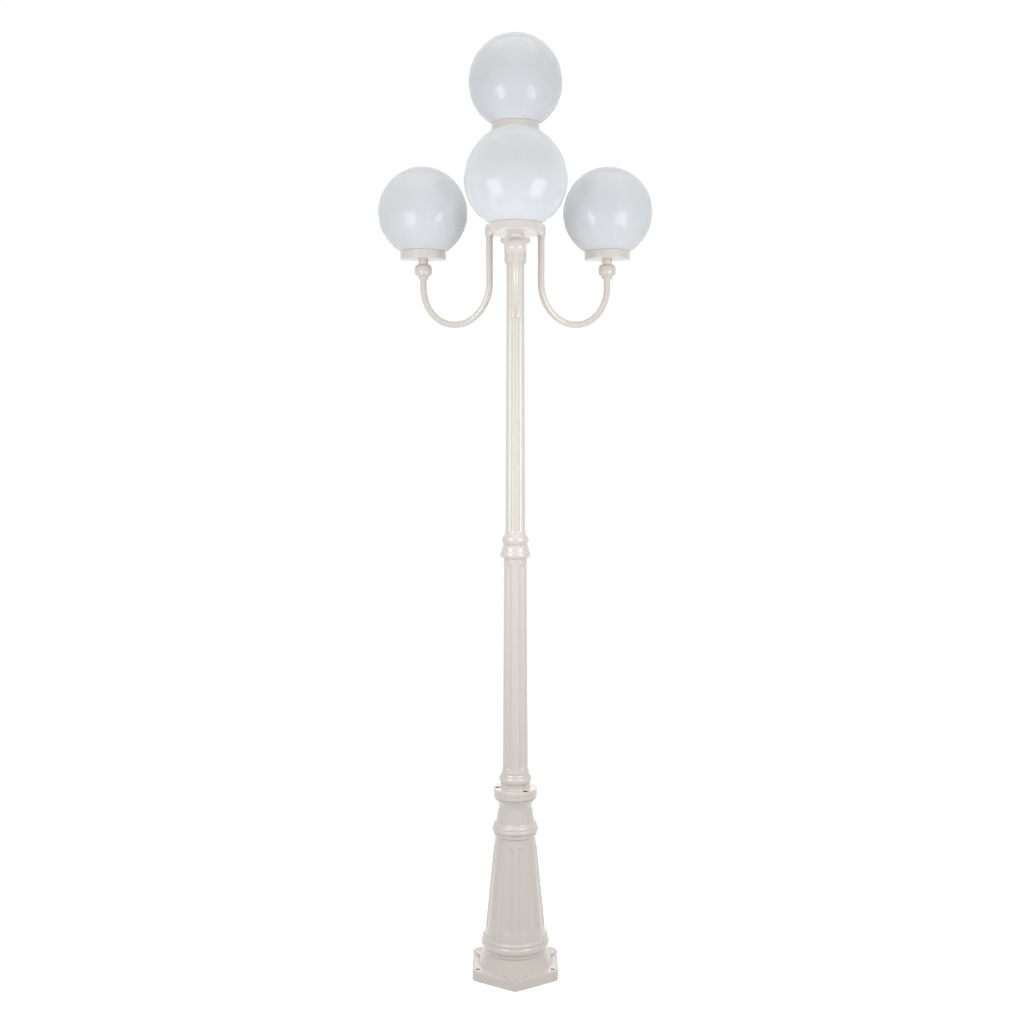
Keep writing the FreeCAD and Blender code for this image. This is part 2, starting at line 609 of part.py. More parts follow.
def arm_hub():
    """Cast hub: sleeve and bowl on the upper shaft, and a spoke with a socket for each arm."""
    hub = turned(
        (0, SLEEVE_Z),
        (HUB_SLEEVE_FOOT_R - SEAM, SLEEVE_Z),
        (HUB_SLEEVE_FOOT_R, SLEEVE_Z + SEAM),
        (HUB_SLEEVE_TOP_R, BOWL_Z),
        ((HUB_BOWL_R, HUB_CROWN_Z), HUB_BOWL_SWELL),
        ((HUB_CROWN_R, HUB_BODY_Z), HUB_CROWN_SWELL),
        (HUB_BODY_R, HUB_BODY_Z),
        (HUB_BODY_R, HUB_BODY_TOP - HUB_BODY_ROUND),
        ((HUB_BODY_R - HUB_BODY_ROUND, HUB_BODY_TOP), HUB_BODY_ROUND * QUARTER_SWELL),
        (HUB_BOSS_R, HUB_BODY_TOP),
        (HUB_BOSS_R, HUB_TOP),
        (0, HUB_TOP),
    )
    spoke = rod(SPOKE_D / 2, INNER_LEG_R, FreeCAD.Vector(0, 0, SPOKE_Z), X_AXIS)
    reach = spoke.fuse(moved(knob(), INNER_LEG_R, 0, 0))
    socket = rod(TUBE_D / 2 + SLIP, ARM_SOCKET_DEPTH + 1, FreeCAD.Vector(INNER_LEG_R, 0, KNOB_Z - 1))
    drop = rod(WIRE_HOLE_D / 2, SPOKE_Z - ARM_TOP, FreeCAD.Vector(INNER_LEG_R, 0, ARM_TOP))
    way = rod(WIRE_HOLE_D / 2, INNER_LEG_R, FreeCAD.Vector(0, 0, SPOKE_Z), X_AXIS)
    bore = rod(UPPER_TOP_R + SLIP, UPPER_TENON_H + 1, FreeCAD.Vector(0, 0, SLEEVE_Z - 1))
    well_top = STEM_Z - HUB_ROOF_T
    well = rod(HUB_WELL_R, well_top - UPPER_TOP + 1, FreeCAD.Vector(0, 0, UPPER_TOP - 1))
    riser = rod(TUBE_D / 2 - TUBE_WALL, STEM_Z - well_top + 2, FreeCAD.Vector(0, 0, well_top - 1))
    stem_socket = rod(TUBE_D / 2 + SLIP, STEM_SOCKET_DEPTH + 1, FreeCAD.Vector(0, 0, STEM_Z))
    grub_hole = rod(GRUB_D / 2 + SLIP, HUB_BOWL_R, FreeCAD.Vector(0, 0, SLEEVE_Z + GRUB_RISE), X_AXIS)
    hub = hub.fuse(around(reach, ARM_COUNT, ARM_TURN))
    cutters = [bore, well, riser, stem_socket]
    for cutter in (socket, drop, way, grub_hole):
        cutters += around(cutter, ARM_COUNT, ARM_TURN)
    return hub.cut(cutters).removeSplitter()


def hub_grub_screws():
    """Headless screws that clamp the hub's sleeve on the upper shaft."""
    length = HUB_SLEEVE_FOOT_R - UPPER_TOP_R - 2 * SLIP
    start = FreeCAD.Vector(UPPER_TOP_R + SLIP, 0, SLEEVE_Z + GRUB_RISE)
    return Part.Compound(around(rod(GRUB_D / 2, length, start, X_AXIS), ARM_COUNT, ARM_TURN))


def arm(turn):
    """U-shaped arm tube: inner leg, half-round bend and outer leg, turned about the post."""
    outer_r = TUBE_D / 2
    inner_r = outer_r - TUBE_WALL
    inner_leg = moved(tube(outer_r, inner_r, BEND_Z, ARM_TOP), INNER_LEG_R, 0, 0)
    outer_leg = moved(tube(outer_r, inner_r, BEND_Z, ARM_END), ARM_REACH, 0, 0)
    centre = FreeCAD.Vector(INNER_LEG_R, 0, BEND_Z)
    ring = Part.Face([Part.Wire(Part.makeCircle(r, centre, Z_AXIS)) for r in (outer_r, inner_r)])
    pivot = FreeCAD.Vector(INNER_LEG_R + ARM_BEND_R, 0, BEND_Z)
    bend = ring.revolve(pivot, Y_AXIS, -180)
    whole = inner_leg.fuse([bend, outer_leg]).removeSplitter()
    whole.rotate(ORIGIN, Z_AXIS, turn)
    return whole


def top_stem():
    """Straight tube from the hub to the top coupling."""
    return tube(TUBE_D / 2, TUBE_D / 2 - TUBE_WALL, STEM_Z, STEM_END)


def coupling():
    """Turned ball with a socket for the tube below and a tapped hole for the nipple above."""
    chamfer = (COUPLING_BALL_H - COUPLING_BAND_H) / 2
    band_z = BALL_Z + chamfer
    band_top = COUPLING_NECK_Z - chamfer
    floor = COUPLING_SOCKET_DEPTH
    nipple_z = FITTER_Z - NIPPLE_INSET
    return turned(
        (TUBE_D / 2 + SLIP, 0),
        (COUPLING_RING_R, 0),
        (COUPLING_RING_R, BALL_Z),
        ((COUPLING_BALL_R, band_z), COUPLING_BALL_SWELL),
        (COUPLING_BALL_R, band_top),
        ((COUPLING_NECK_R, COUPLING_NECK_Z), COUPLING_BALL_SWELL),
        (COUPLING_NECK_R, FITTER_Z),
        (NIPPLE_D / 2 + SLIP, FITTER_Z),
        (NIPPLE_D / 2 + SLIP, nipple_z),
        (NIPPLE_BORE_D / 2, nipple_z),
        (NIPPLE_BORE_D / 2, floor),
        (TUBE_D / 2 + SLIP, floor),
    )


def fitter():
    """Shallow cup that carries the globe, with a rounded foot and a lead-in at the rim."""
    outer_r = FITTER_D / 2
    edge = FITTER_EDGE_ROUND
    return turned(
        (NIPPLE_D / 2 + SLIP, FITTER_Z),
        (outer_r - edge, FITTER_Z),
        ((outer_r, FITTER_Z + edge), edge * QUARTER_SWELL),
        (outer_r, FITTER_RIM),
        (FITTER_BORE_R + FITTER_LEAD_IN, FITTER_RIM),
        (FITTER_BORE_R, FITTER_RIM - FITTER_LEAD_IN),
        (FITTER_BORE_R, FITTER_FLOOR),
        (NIPPLE_D / 2 + SLIP, FITTER_FLOOR),
    )


def nipple():
    """Threaded tube through the fitter, from the coupling to the lampholder."""
    top = NUT_TOP + HOLDER_ENTRY_DEPTH - SLIP
    return tube(NIPPLE_D / 2, NIPPLE_BORE_D / 2, FITTER_Z - NIPPLE_INSET, top)


def lock_nut():
    """Hexagonal nut that clamps the fitter on its nipple."""
    nut = Part.Face(hexagon(NUT_ACROSS / math.sqrt(3))).extrude(FreeCAD.Vector(0, 0, NUT_T))
    return moved(nut.cut(rod(NIPPLE_D / 2 + SLIP, NUT_T)), 0, 0, FITTER_FLOOR)


def gasket():
    """Flat ring that the globe's neck rests on."""
    outer_r = FITTER_BORE_R - SLIP
    return tube(outer_r, outer_r - GASKET_W, FITTER_FLOOR, GASKET_TOP)


def globe():
    """Hollow sphere with a short neck that stands in the fitter."""
    outer_r = GLOBE_D / 2
    inner_r = outer_r - GLOBE_WALL
    neck_r = FITTER_BORE_R - NECK_GAP
    bore_r = neck_r - GLOBE_WALL
    rim = GASKET_TOP + REST
    outer_z = GLOBE_Z - math.sqrt(outer_r ** 2 - neck_r ** 2)
    inner_z = GLOBE_Z - math.sqrt(inner_r ** 2 - bore_r ** 2)
    return turned(
        (bore_r, rim),
        (neck_r, rim),
        (neck_r, outer_z),
        ((outer_r, GLOBE_Z), (0, GLOBE_Z + outer_r)),
        (0, GLOBE_Z + inner_r),
        ((inner_r, GLOBE_Z), (bore_r, inner_z)),
    )


def lampholder():
    """Insulating lampholder on the nipple, open at the top for the lamp's cap."""
    wall_r = SHELL_R + SLIP
    body_z = NUT_TOP + HOLDER_BOSS_H
    entry_top = NUT_TOP + HOLDER_ENTRY_DEPTH
    return turned(
        (NIPPLE_D / 2 + SLIP, NUT_TOP),
        (HOLDER_BOSS_R, NUT_TOP),
        (HOLDER_BOSS_R, body_z),
        (HOLDER_R - HOLDER_EDGE, body_z),
        (HOLDER_R, body_z + HOLDER_EDGE),
        (HOLDER_R, HOLDER_TOP - HOLDER_EDGE),
        (HOLDER_R - HOLDER_EDGE, HOLDER_TOP),
        (wall_r, HOLDER_TOP),
        (wall_r, SHELL_Z),
        (NIPPLE_BORE_D / 2, SHELL_Z),
        (NIPPLE_BORE_D / 2, entry_top),
        (NIPPLE_D / 2 + SLIP, entry_top),
    )


def contact_sleeve():
    """Metal screw shell in the lampholder, with a floor for the centre contact."""
    return turned(
        (0, SHELL_Z),
        (SHELL_R, SHELL_Z),
        (SHELL_R, SHELL_Z + SHELL_H),
        (SHELL_R - SHELL_WALL, SHELL_Z + SHELL_H),
        (SHELL_R - SHELL_WALL, SHELL_Z + SHELL_FLOOR_T),
        (0, SHELL_Z + SHELL_FLOOR_T),
    )


def lamp_cap():
    """Screw cap of the lamp, with its centre contact below and a seat for the bulb's neck."""
    cap_r = LAMP_CAP_D / 2
    tip_r = LAMP_TIP_D / 2
    seat_r = BULB_NECK_D / 2 + SLIP
    return turned(
        (0, LAMP_Z),
        (tip_r, LAMP_Z),
        (tip_r + LAMP_SHOULDER, LAMP_Z + LAMP_TIP_H),
        (cap_r - LAMP_SHOULDER, LAMP_Z + 2 * LAMP_TIP_H),
        (cap_r, LAMP_Z + 2 * LAMP_TIP_H + LAMP_SHOULDER),
        (cap_r, CAP_TOP),
        (seat_r, CAP_TOP),
        (seat_r, CAP_TOP - LAMP_SEAT_DEPTH),
        (0, CAP_TOP - LAMP_SEAT_DEPTH),
    )


def bulb_wall(offset):
    """Outline steps of the bulb, from its neck's foot to its crown, moved in by an offset."""
    ball_r = BULB_D / 2
    neck_r = BULB_NECK_D / 2
    ball_z = CAP_TOP + BULB_H - ball_r
    hip = math.radians(BULB_HIP)
    hip_r = (ball_r - offset) * math.cos(hip)
    hip_z = ball_z - (ball_r - offset) * math.sin(hip)
    crown = ball_z + ball_r - offset
    return [
        (neck_r - offset, CAP_TOP - LAMP_SEAT_DEPTH),
        (neck_r - offset, CAP_TOP + BULB_THROAT_H),
        ((hip_r, hip_z), BULB_FLANK_SWELL),
        ((ball_r - offset, ball_z), (0, crown)),
    ]


def lamp_bulb():
    """Thin pear-shaped bulb, open at its neck where the cap closes it."""
    outer = bulb_wall(0)
    inner = bulb_wall(BULB_WALL)
    skin = turned((0, outer[0][1]), *outer)
    return skin.cut(turned((0, inner[0][1]), *inner))


HEAD_PIECES = {
    "coupling": coupling,
    "fitter": fitter,
    "nipple": nipple,
    "lock_nut": lock_nut,
    "gasket": gasket,
    "lampholder": lampholder,
    "contact_sleeve": contact_sleeve,
    "lamp_cap": lamp_cap,
    "lamp_bulb": lamp_bulb,
    "globe": globe,
}


def lamp_post():
    """Every piece of the lamp post, by name."""
    pieces = {
        "base_pedestal": base_pedestal(),
        "flange_bolts": flange_bolts(),
        "lower_shaft": lower_shaft(),
        "shaft_collar": shaft_collar(),
        "upper_shaft": upper_shaft(),
        "arm_hub": arm_hub(),
        "hub_grub_screws": hub_grub_screws(),
        "top_stem": top_stem(),
    }
    head = {name: make() for name, make in HEAD_PIECES.items()}
    for k, side in enumerate(ARM_SIDES):
        turn = ARM_TURN + 360.0 * k / ARM_COUNT
        pieces[side + "_arm"] = arm(turn)
        x = ARM_REACH * math.cos(math.radians(turn))
        y = ARM_REACH * math.sin(math.radians(turn))
        for name, shape in head.items():
            pieces[side + "_" + name] = moved(shape, x, y, ARM_END - COUPLING_SOCKET_DEPTH)
    for name, shape in head.items():
        pieces["top_" + name] = moved(shape, 0, 0, STEM_END - COUPLING_SOCKET_DEPTH)
    return pieces


os.makedirs("parts", exist_ok=True)
for node, solid in lamp_post().items():
    solid.exportStep("parts/" + node + ".step")
    print(node, "solids", len(solid.Solids), "valid", solid.isValid(), "cm3", round(solid.Volume / 1000, 2))
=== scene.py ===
import logging
import math
from dataclasses import dataclass
from enum import Enum, IntEnum
from typing import Any, Callable, Optional, Sequence, Union

import bmesh
import bpy
from mathutils import Matrix, Vector


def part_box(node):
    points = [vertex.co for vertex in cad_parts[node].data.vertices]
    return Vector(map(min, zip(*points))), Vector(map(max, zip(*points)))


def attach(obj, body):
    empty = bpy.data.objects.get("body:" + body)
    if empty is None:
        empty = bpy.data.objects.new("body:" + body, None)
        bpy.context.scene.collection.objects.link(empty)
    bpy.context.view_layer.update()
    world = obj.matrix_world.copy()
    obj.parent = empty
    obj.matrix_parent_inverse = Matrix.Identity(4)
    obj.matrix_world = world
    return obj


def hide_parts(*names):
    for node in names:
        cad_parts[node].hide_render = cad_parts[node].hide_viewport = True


# The four globe lamp post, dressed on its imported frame. Sizes are in millimetres and turn to
# metres as a mesh is made. Z is up, the ground is z = 0 and the front of the post faces -Y.

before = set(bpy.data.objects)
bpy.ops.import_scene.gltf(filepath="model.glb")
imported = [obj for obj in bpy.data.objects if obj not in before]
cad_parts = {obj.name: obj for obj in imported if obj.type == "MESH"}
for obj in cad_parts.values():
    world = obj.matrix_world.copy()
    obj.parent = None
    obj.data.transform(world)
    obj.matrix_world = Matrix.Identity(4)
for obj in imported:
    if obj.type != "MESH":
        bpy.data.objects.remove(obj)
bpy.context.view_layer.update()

MM = 0.001
LOG = logging.getLogger("lamp_post")
POST = "post"

Mesh = bpy.types.Mesh
Point = tuple[float, float]
Colour = tuple[float, float, float]
Sockets = dict[Union[int, str], Any]

WHITE: Colour = (1.0, 1.0, 1.0)
SMOOTH_LIMIT = math.radians(38.0)
QUARTER_SWELL = 1 - math.sqrt(0.5)
HEX_SIDES = 6
HALF_SIXTH = math.radians(30)
ROUND_PROFILE = 0.5
NOISE_ROUGHNESS = 0.55
OVERCUT = 2.0
FIT_GAP = 0.15


class Side(Enum):
    """The four lamp heads. Three stand on arms, the last on the top stem."""

    FRONT = "front"
    RIGHT = "right"
    LEFT = "left"
    TOP = "top"


ARM_SIDES = (Side.FRONT, Side.RIGHT, Side.LEFT)


class SocketKind(Enum):
    """Kinds of input that a node tree takes."""

    GEOMETRY = "NodeSocketGeometry"
    NUMBER = "NodeSocketFloat"
    COUNT = "NodeSocketInt"
    FINISH = "NodeSocketMaterial"


class Join(Enum):
    """How a second mesh changes the first."""

    ADD = "UNION"
    TAKE = "DIFFERENCE"


class Steps(IntEnum):
    """Steps around a turned piece."""

    GRUB = 32
    BOLT = 40
    HOLE = 48
    KNOB = 64
    CAP = 72
    LAMP = 80
    BALL = 96
    HUB = 128
    GLOBE = 144
    FITTER = 160
    FOOT = 192
    UPPER_SHAFT = 240
    LOWER_SHAFT = 264
    PEDESTAL = 288


def operator(operation: str, swapped: bool = False) -> Callable[["Signal", "Operand"], "Signal"]:
    """Makes a Signal's operator.

    Args:
        operation: what its Math node does.
        swapped: whether the other value comes first.

    Returns:
        The method.
    """
    def add_node(self: "Signal", other: "Operand") -> "Signal":
        """Adds the Math node."""
        return self.graph.math(operation, *((other, self) if swapped else (self, other)))

    return add_node


class Signal:
    """A value in a node tree. Its operators add Math nodes."""

    __add__, __radd__ = operator("ADD"), operator("ADD", True)
    __sub__, __rsub__ = operator("SUBTRACT"), operator("SUBTRACT", True)
    __mul__, __rmul__ = operator("MULTIPLY"), operator("MULTIPLY", True)
    __truediv__, __rtruediv__ = operator("DIVIDE"), operator("DIVIDE", True)
    __pow__, __gt__ = operator("POWER"), operator("GREATER_THAN")

    def __init__(self, graph: "Graph", socket: bpy.types.NodeSocket) -> None:
        """Wraps one output socket."""
        self.graph = graph
        self.socket = socket


Operand = Union[Signal, float]


class Graph:
    """A node tree that is written as expressions."""

    def __init__(self, tree: bpy.types.NodeTree) -> None:
        """Writes into this tree."""
        self.tree = tree

    @staticmethod
    def find(sockets: Any, key: Union[int, str]) -> bpy.types.NodeSocket:
        """Finds one of a node's sockets by its identifier, name or index."""
        found = [socket for socket in sockets if socket.identifier == key]
        return found[0] if found else sockets[key]

    def node(self, kind: str, sockets: Optional[Sockets] = None, **settings: Any) -> bpy.types.Node:
        """Adds one node.

        Args:
            kind: the node's type.
            sockets: a value or a Signal for each input, by identifier, name or index.
            settings: the node's own properties, which are set first.

        Returns:
            The new node.
        """
        made = self.tree.nodes.new(kind)
        for key, value in settings.items():
            setattr(made, key, value)
        for key, value in (sockets or {}).items():
            target = self.find(made.inputs, key)
            if isinstance(value, Signal):
                self.tree.links.new(value.socket, target)
            else:
                target.default_value = value
        return made

    def value(
        self, kind: str, sockets: Optional[Sockets] = None, out: Union[int, str] = 0, **settings: Any
    ) -> Signal:
        """Adds one node, as node does, and takes one of its outputs."""
        return Signal(self, self.find(self.node(kind, sockets, **settings).outputs, out))

    def math(self, operation: str, *values: Operand) -> Signal:
        """Adds one Math node for these values."""
        return self.value("ShaderNodeMath", dict(enumerate(values)), operation=operation)

    def mix(self, share: Operand, first: Any, second: Any) -> Signal:
        """Mixes so much of a second colour, from 0 to 1, into a first."""
        sockets = {"Factor_Float": share, "A_Color": first, "B_Color": second}
        return self.value("ShaderNodeMix", sockets, "Result_Color", data_type="RGBA")


class Recipe:
    """A Geometry Nodes tree with named inputs, which works a mesh."""

    def __init__(self, name: str, numbers: Sequence[str], counts: Sequence[str] = ()) -> None:
        """Starts the tree.

        Args:
            name: the tree's name.
            numbers: names of the inputs that are numbers.
            counts: names of the inputs that are whole numbers.
        """
        self.graph = Graph(bpy.data.node_groups.new(name, "GeometryNodeTree"))
        sheet = self.graph.tree.interface
        kinds = {
            "Geometry": SocketKind.GEOMETRY,
            **dict.fromkeys(counts, SocketKind.COUNT),
            **dict.fromkeys(numbers, SocketKind.NUMBER),
            "Finish": SocketKind.FINISH,
        }
        self.keys = {
            label: sheet.new_socket(label, in_out="INPUT", socket_type=kind.value).identifier
            for label, kind in kinds.items()
        }
        sheet.new_socket("Geometry", in_out="OUTPUT", socket_type=SocketKind.GEOMETRY.value)
        self.source = self.graph.node("NodeGroupInput")

    def __getitem__(self, label: str) -> Signal:
        """One of the tree's inputs."""
        return Signal(self.graph, self.source.outputs[label])

    def spot(self) -> list[Signal]:
        """X, Y and Z of the point at hand.

        Returns:
            The three values.
        """
        here = self.graph.value("GeometryNodeInputPosition")
        parts = self.graph.node("ShaderNodeSeparateXYZ", {0: here})
        return [Signal(self.graph, socket) for socket in parts.outputs]

    def placed(self, *spot: Signal) -> Signal:
        """The mesh, with the point at hand moved to this X, Y and Z.

        Args:
            spot: where the point at hand goes, as X, Y and Z.

        Returns:
            The moved mesh.
        """
        place = self.graph.value("ShaderNodeCombineXYZ", dict(enumerate(spot)))
        sockets = {"Geometry": self["Geometry"], "Position": place}
        return self.graph.value("GeometryNodeSetPosition", sockets)

    def close(self, geometry: Signal) -> None:
        """Ends the tree: real geometry with its finish.

        Args:
            geometry: what the tree has made.
        """
        real = self.graph.value("GeometryNodeRealizeInstances", {0: geometry})
        sockets = {"Geometry": real, "Material": self["Finish"]}
        self.graph.node("NodeGroupOutput", {0: self.graph.value("GeometryNodeSetMaterial", sockets)})

    def apply(
        self,
        mesh: Mesh,
        finish: "Finish",
        lengths: dict[str, float],
        others: Optional[dict[str, Any]] = None,
        wall: float = 0.0,
    ) -> Mesh:
        """Works a mesh with this tree.

        Args:
            mesh: the mesh that goes in; it is used up.
            finish: what the mesh is made of.
            lengths: the tree's inputs in millimetres, by name.
            others: its other inputs.
            wall: wall that an open skin gets inwards.

        Returns:
            The worked mesh.
        """
        blank = scratch_object(mesh)
        modifier = blank.modifiers.new(self.graph.tree.name, "NODES")
        modifier.node_group = self.graph.tree
        values = {label: length * MM for label, length in lengths.items()}
        values.update(others or {}, Finish=finish.material())
        for label, value in values.items():
            modifier[self.keys[label]] = value
        if wall:
            skin = blank.modifiers.new("wall", "SOLIDIFY")
            skin.thickness = wall * MM
            skin.offset = -1.0
        return taken_mesh(blank)


class FlutingRecipe(Recipe):
    """Cuts round-ended flutes into a turned blank, as a tapered ball cutter does."""

    def __init__(self) -> None:
        """Builds the tree: each point moves in to the nearest cutter's skin."""
        ends = [end + word for end in ("Low ", "High ") for word in ("Z", "Axis", "Ball")]
        super().__init__("flutes", ["First Turn", "Soft Edge", *ends], ["Count"])
        work = self.graph.math
        x, y, z = self.spot()
        radius = (x * x + y * y) ** 0.5
        half = math.pi / self["Count"]
        turn = work("ARCTAN2", y, x) - self["First Turn"]
        offset = work("WRAP", turn, half, half * -1.0)
        low, high = self["Low Z"], self["High Z"]
        along = self.graph.value("ShaderNodeClamp", {"Value": (z - low) / (high - low)})
        axis = self["Low Axis"] + (self["High Axis"] - self["Low Axis"]) * along
        ball = self["Low Ball"] + (self["High Ball"] - self["Low Ball"]) * along
        beyond = work("MAXIMUM", work("MAXIMUM", low - z, z - high), 0.0)
        aside = axis * work("SINE", offset)
        depth = ball * ball - beyond * beyond - aside * aside
        inside = depth > 0.0
        skin = axis * work("COSINE", offset) - work("MAXIMUM", depth, 0.0) ** 0.5
        reach = inside * skin + (1.0 - inside) * (radius + 1.0)
        scale = work("SMOOTH_MIN", radius, reach, self["Soft Edge"]) / radius
        self.close(self.placed(x * scale, y * scale, z))


class ThreadRecipe(Recipe):
    """Rolls a round screw thread into a turned blank that stands on the Z axis."""

    def __init__(self) -> None:
        """Builds the tree: a helical wave that fades out at both ends."""
        super().__init__("rolled_thread", ["Pitch", "Depth", "Low Z", "High Z", "Inner Radius"])
        work = self.graph.math
        x, y, z = self.spot()
        radius = (x * x + y * y) ** 0.5
        turns = z / self["Pitch"] - work("ARCTAN2", y, x) / math.tau
        wave = work("COSINE", turns * math.tau) * 0.5 - 0.5
        inwards = work("MINIMUM", z - self["Low Z"], self["High Z"] - z)
        fade = self.graph.value("ShaderNodeClamp", {"Value": inwards / self["Pitch"]})
        skin = radius > self["Inner Radius"]
        scale = 1.0 + wave * fade * skin * self["Depth"] / work("MAXIMUM", radius, MM)
        self.close(self.placed(x * scale, y * scale, z))


class RingRecipe(Recipe):
    """Repeats one piece about the Z axis."""

    def __init__(self) -> None:
        """Builds the tree: one instance for each point, turned by its number."""
        super().__init__("ring_of_screws", ["First Turn"], ["Count"])
        number = self.graph.value("GeometryNodeInputIndex")
        turn = self["First Turn"] + number * math.tau / self["Count"]
        sockets = {
            "Points": self.graph.value("GeometryNodePoints", {"Count": self["Count"]}),
            "Instance": self["Geometry"],
            "Rotation": self.graph.value("ShaderNodeCombineXYZ", {2: turn}),
        }
        self.close(self.graph.value("GeometryNodeInstanceOnPoints", sockets))


class BentTubeRecipe(Recipe):
    """Sweeps a round tube along a straight leg, a half-round bend and a second leg."""

    def __init__(self) -> None:
        """Builds the tree: each point of a line finds its place by its distance along the tube."""
        names = ["Top Z", "First Leg", "Bend Radius", "Start Radius", "Turn", "Tube Radius"]
        super().__init__("bent_tube", names, ["Sides"])
        work = self.graph.math
        gone = self.spot()[0]
        first, bend, turn = self["First Leg"], self["Bend Radius"], self["Turn"]
        down = work("MINIMUM", gone, first)
        swept = work("MINIMUM", work("MAXIMUM", gone - first, 0.0), bend * math.pi)
        rise = work("MAXIMUM", gone - first - bend * math.pi, 0.0)
        angle = swept / bend
        reach = self["Start Radius"] + bend * (1.0 - work("COSINE", angle))
        height = self["Top Z"] - down - bend * work("SINE", angle) + rise
        line = self.placed(reach * work("COSINE", turn), reach * work("SINE", turn), height)
        circle = {"Resolution": self["Sides"], "Radius": self["Tube Radius"]}
        ring = self.graph.value("GeometryNodeCurvePrimitiveCircle", circle, mode="RADIUS")
        curve = self.graph.value("GeometryNodeMeshToCurve", {"Mesh": line})
        sockets = {"Curve": curve, "Profile Curve": ring}
        self.close(self.graph.value("GeometryNodeCurveToMesh", sockets))


FLUTES = FlutingRecipe()
THREAD = ThreadRecipe()
RING = RingRecipe()
TUBE = BentTubeRecipe()


@dataclass(frozen=True)
class Band:
    """One band of a moulding: a step to its foot, where it has one, and a stretch to its top.

    The swell is how far the stretch's middle stands out from a straight line.
    """

    top_r: float
    height: float = 0.0
    swell: float = 0.0
    foot_r: Optional[float] = None


